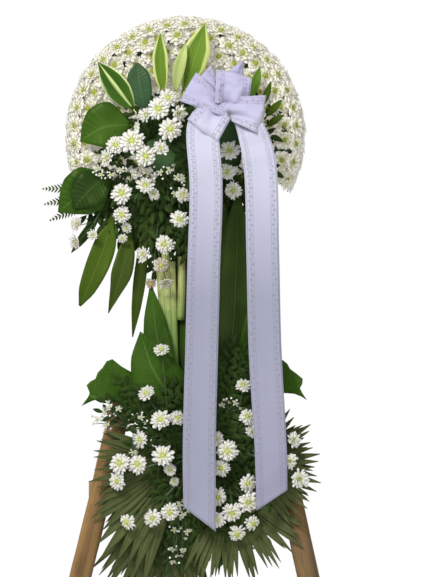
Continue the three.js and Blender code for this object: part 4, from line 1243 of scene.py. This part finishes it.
def head_mums(form, chance):
    count = 0

    def age_at(up):
        return max(0, up - 0.1) * 0.25 + chance.uniform(0, 0.06)

    for row in range(6):
        ring = HEAD_RADIUS - 0.026 - row * HEAD_STEP * 0.86
        first = math.asin(max(-0.999, (PAD_CUT - HEAD.z + 0.02) / ring))
        number = int((math.pi - 2 * first) * ring / HEAD_STEP)
        for i in range(number + 1):
            angle = first + (math.pi - 2 * first) * i / number
            angle += chance.uniform(-0.1, 0.1) * HEAD_STEP / ring
            aside, up = math.cos(angle) * ring, math.sin(angle) * ring
            if ((aside - 0.02) / 0.138) ** 2 + ((up + 0.02) / 0.112) ** 2 < 1:
                continue
            centre = HEAD + Vector((aside, -0.011 + chance.uniform(-1, 1) * 0.004, up))
            centre += Vector((chance.uniform(-1, 1), 0, chance.uniform(-1, 1))) * 0.003
            facing = Vector((aside * 1.6 + chance.uniform(-0.15, 0.15), -1,
                             up * 1.6 + chance.uniform(-0.1, 0.2)))
            set_bloom(form, chance.choice([PACKED, PACKED_TWO]), centre, facing,
                      chance.uniform(0.0285, 0.031), chance.random() * 6, age_at(up))
            count += 1
    first = math.asin((PAD_CUT - HEAD.z + 0.012) / HEAD_RADIUS)
    for outward, back, front in ((-6, -2, 0.8), (8, 30, 0.2), (8, 62, -0.1)):
        ring = HEAD_RADIUS + outward * 0.001
        number = int((math.pi - 2 * first) * (ring + 0.01) / RIM_STEP)
        for i in range(number + 1):
            angle = first + (math.pi - 2 * first) * i / number
            across = Vector((math.cos(angle), 0, math.sin(angle)))
            centre = HEAD + Vector((0, back * 0.001 + chance.uniform(-1, 1) * 0.002, 0))
            centre += across * (ring + 0.006)
            facing = across + Vector((chance.uniform(-0.1, 0.1), -front, chance.uniform(-0.1, 0.1)))
            set_bloom(form, chance.choice([PACKED, PACKED_TWO]), centre, facing, 0.0288,
                      chance.random() * 6, age_at(centre.z - HEAD.z))
            count += 1
    print("mums on the head:", count)


form = begin()
pad(form)
head_mums(form, random.Random(5))
# The head's cups take the pale finish, which is painted light in the gaps between blooms.
keep(form, "HeadMums_blooms", [PETAL_HEAD, EYE_HEAD, CUP_HEAD_PAINTED_LIGHT, FOAM], "petal_white", "HeadMums")

# %% [markdown]
# ## Ribbon
# The ribbon is a satin band 82 mm wide. Along each edge two fine lines are printed, with a running
# sprig between them. Its weave shows as fine ribs. The finish reads the cloth's own chart: the first
# number runs across the band and the second counts ribbon widths along it, so the sprigs keep their
# shape on the tails and round the loops. The band is painted darker and bluer down the tails and a
# deeper lavender on the bow: painted shade.

# %% Ribbon finish
HALF_TURN = 3.1416


def ribbon_finish():
    finish = Finish("ribbon_satin", Roughness=0.36, Specular_IOR_Level=0.45, Sheen_Weight=0.25)
    across, along = finish.chart()
    edge = 0.5 - (across - 0.5).size()
    height = finish.node("ShaderNodeSeparateXYZ", {0: finish.place()}, out=2)
    # Painted shade by height: darker and bluer further down the tails, a deeper lavender on the bow.
    low = ((1.36 - height) * 2.6).clamp()
    high = ((height - 1.385) * 12).clamp()
    cloth = finish.mix(finish.cloud(7), (0.44, 0.44, 0.56), (0.54, 0.54, 0.66))
    cloth = finish.mix(low, cloth, (0.25, 0.255, 0.345))
    cloth = finish.mix(high * 0.8, cloth, (0.37, 0.345, 0.52))
    border = (1 - ((edge - 0.225).size() * 60)).clamp() + (1 - (edge - 0.045).size() * 60).clamp()
    phase = along * 30
    stem_line = (1 - (edge - 0.147 - phase.wave() * 0.018).size() * 60).clamp()
    step = (phase / HALF_TURN).part() - 0.5
    side = (edge - 0.147 + phase.wave() * 0.036).size()
    sprig = (1 - step.size() * 2.6 - side * 24).clamp()
    worn = (finish.cloud(110, 2) * 2.6 - 0.35).clamp()
    ink = (border * 0.8 + stem_line * 0.9 + sprig * 2.0).clamp() * worn * 0.8
    finish.colour(finish.mix(ink.clamp(), cloth, (0.16, 0.15, 0.17)))
    weave = (along * 900).wave() * 0.5 + (across * 420).wave() * 0.5
    crease = (finish.cloud(16, 2) - 0.5).size() * high
    finish.bump(weave * 0.3 + finish.cloud(60, 2) * 0.5 - crease * 14, 0.0016, 0.5)
    return finish.material


RIBBON = ribbon_finish()
WIDTH = 0.082
CLOTH_THICK = 0.0006

# %% [markdown]
# ## Ribbon tails
# Each tail hangs from the bow to a slanted end. It is a strip bent along its hanging line, hardly
# thicker than paper, with a soft wave down its length and a slight twist.

# %% Ribbon tails
def length_of(place, steps=200):
    return sum((place((i + 1) / steps) - place(i / steps)).length for i in range(steps))


def tail(name, spine, widths, slant, seed):
    form = begin()
    chart = form.loops.layers.uv["Chart"]
    place = curve([at(*spot) for spot in spine])
    half_at = numbers(widths)
    long = length_of(place)
    made = bmesh.ops.create_grid(form, x_segments=10, y_segments=90, size=0.5, calc_uvs=True)
    for vert in made["verts"]:
        across, t = vert.co.x * 2, vert.co.y + 0.5
        ahead, side, out = directions(place, t, FRONT)
        half = half_at(t) * 0.001
        gather = max(0, 1 - t * 9)
        lift = abs(across) * half * 0.06 + gather * 0.006 * math.cos(across * 9)
        ripple = 0.0035 * math.sin(t * 17 + seed) * across + 0.002 * math.sin(t * 41 + seed * 2)
        vert.co = (place(t) + side * across * half + out * (lift + ripple * (1 - gather))
                   + ahead * slant * 0.001 * across * t ** 6)
    for face in form.faces:
        for loop in face.loops:
            loop[chart].uv.y *= long / WIDTH
    thicken(form, list(form.faces), CLOTH_THICK)
    piece = keep(form, name + "_cloth", [RIBBON], "ribbon_satin", name)
    print(name, "hangs", round(long * 1000), "mm")


# %% [markdown]
# ## Ribbon bow
# The bow is one long band folded to and fro through the knot. Every loop goes out from the knot,
# turns over at its far end and comes back behind. Near the knot the band is pinched, so it creases
# there, and at the far end it is flat and full. A loop is drawn by the two corners of its near end
# and the two of its far end, as columns and rows of the photograph's frame, and three depths.

# %% Ribbon bow
MM_PER_PIXEL = 2.5
MIDDLE_COLUMN, FLOOR_ROW = 193, 690
BANDS = [
    ("peak", (232, 98), (244, 102), (226, 74), (243, 61), 10, 2, 6),
    ("back", (222, 92), (238, 112), (211, 66), (190, 92), 10, 10, 12),
    ("left", (219, 92), (230, 120), (196.5, 73), (181, 102), 14, 20, 22),
    ("top", (215, 104), (249, 104), (216.5, 70), (252, 79), 14, 22, 30),
    ("right", (226, 98), (232, 122), (266, 96), (258, 134), 18, 22, 28),
    ("low", (203, 101), (231, 119), (187.5, 120), (217.5, 143), 15, 24, 36),
]


def picture(spot, forward):
    """A place given by its column and row in the photograph's frame, at the bow's depth."""
    column, row = spot
    return at((column - MIDDLE_COLUMN) * MM_PER_PIXEL, -304 - forward,
              (FLOOR_ROW - row) * MM_PER_PIXEL)


def bow_loop(form, near_a, near_b, far_a, far_b, puff, forward, out, seed):
    """One loop of the band: out from the knot, over the far fold, and back behind."""
    chart = form.loops.layers.uv["Chart"]
    near = [picture(near_a, forward), picture(near_b, forward)]
    far = [picture(far_a, out), picture(far_b, out)]
    reach = ((far[0] + far[1]) - (near[0] + near[1])).length / 2
    along = ((far[0] + far[1]) - (near[0] + near[1])).normalized()
    made = bmesh.ops.create_grid(form, x_segments=16, y_segments=44, size=0.5, calc_uvs=True)
    for vert in made["verts"]:
        across, t = vert.co.x + 0.5, vert.co.y + 0.5
        turn = t * 2 * math.pi
        share = (1 - math.cos(turn)) / 2
        spot = near[0].lerp(near[1], across).lerp(far[0].lerp(far[1], across), share)
        swell = math.sin(turn) * (0.35 + 0.65 * math.sin(turn / 2) ** 2)
        crease = (1 - share) ** 1.5 * 0.009 * math.cos(across * 10 + seed * 2)
        dent = 0.008 * noise.noise(Vector((across * 2.2, share * 2.4 + seed * 3, seed * 7)))
        dent += 0.011 * abs(noise.noise(Vector((across * 2.9 + seed, share * 1.7, seed * 5))))
        depth = puff * 0.001 * swell + (crease + dent) * (1 if t < 0.5 else 0.5)
        bow_out = 0.0022 * math.sin(across * math.pi) * share
        vert.co = spot + Vector((0, -depth, 0)) + along * bow_out
    faces = faces_of(made["verts"])
    long = 2.1 * reach
    for face in faces:
        for loop in face.loops:
            loop[chart].uv.y = loop[chart].uv.y * long / WIDTH + seed
    thicken(form, faces, CLOTH_THICK)
    return long


def bow():
    form = begin()
    long = 0
    for seed, (_, *corners_and_depths) in enumerate(BANDS):
        long += bow_loop(form, *corners_and_depths, seed)
    knot = bmesh.ops.create_uvsphere(form, u_segments=28, v_segments=18, radius=1, calc_uvs=True)
    for vert in knot["verts"]:
        pleat = 1 + 0.09 * math.cos(math.atan2(vert.co.y, vert.co.x) * 7)
        vert.co = at(78, -326, 1453) + Vector((vert.co.x * 0.024 * pleat + vert.co.z * 0.012,
                                               vert.co.y * 0.012, vert.co.z * 0.015 * pleat))
    tube(form, curve([at(90, PAD_DEEP, 1467), at(90, -298, 1467)]), lambda t: 0.0025, 6, 1)
    piece = keep(form, "RibbonBow_loops", [RIBBON], "ribbon_satin", "RibbonBow")


bow()
tail("RibbonTailLeft", [(34, -324, 1438), (25, -339, 1395), (33, -341, 1262), (27, -336, 1050),
                        (22, -338, 850), (16, -347, 600), (17, -352, 430)],
     [36, 41, 41, 41, 41, 41, 40], -31, 1)
tail("RibbonTailRight", [(122, -320, 1440), (150, -336, 1385), (167, -338, 1310), (174, -335, 1100),
                         (180, -338, 850), (194, -349, 600), (197, -352, 477)],
     [26, 37, 41, 41, 41, 40, 39], 25, 4)

# %% [markdown]
# ## Sizes and the end
# The box round everything shown, the finished pieces and the plain solids that stay, is worked out
# at the end.

# %% Sizes and finish
low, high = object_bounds()
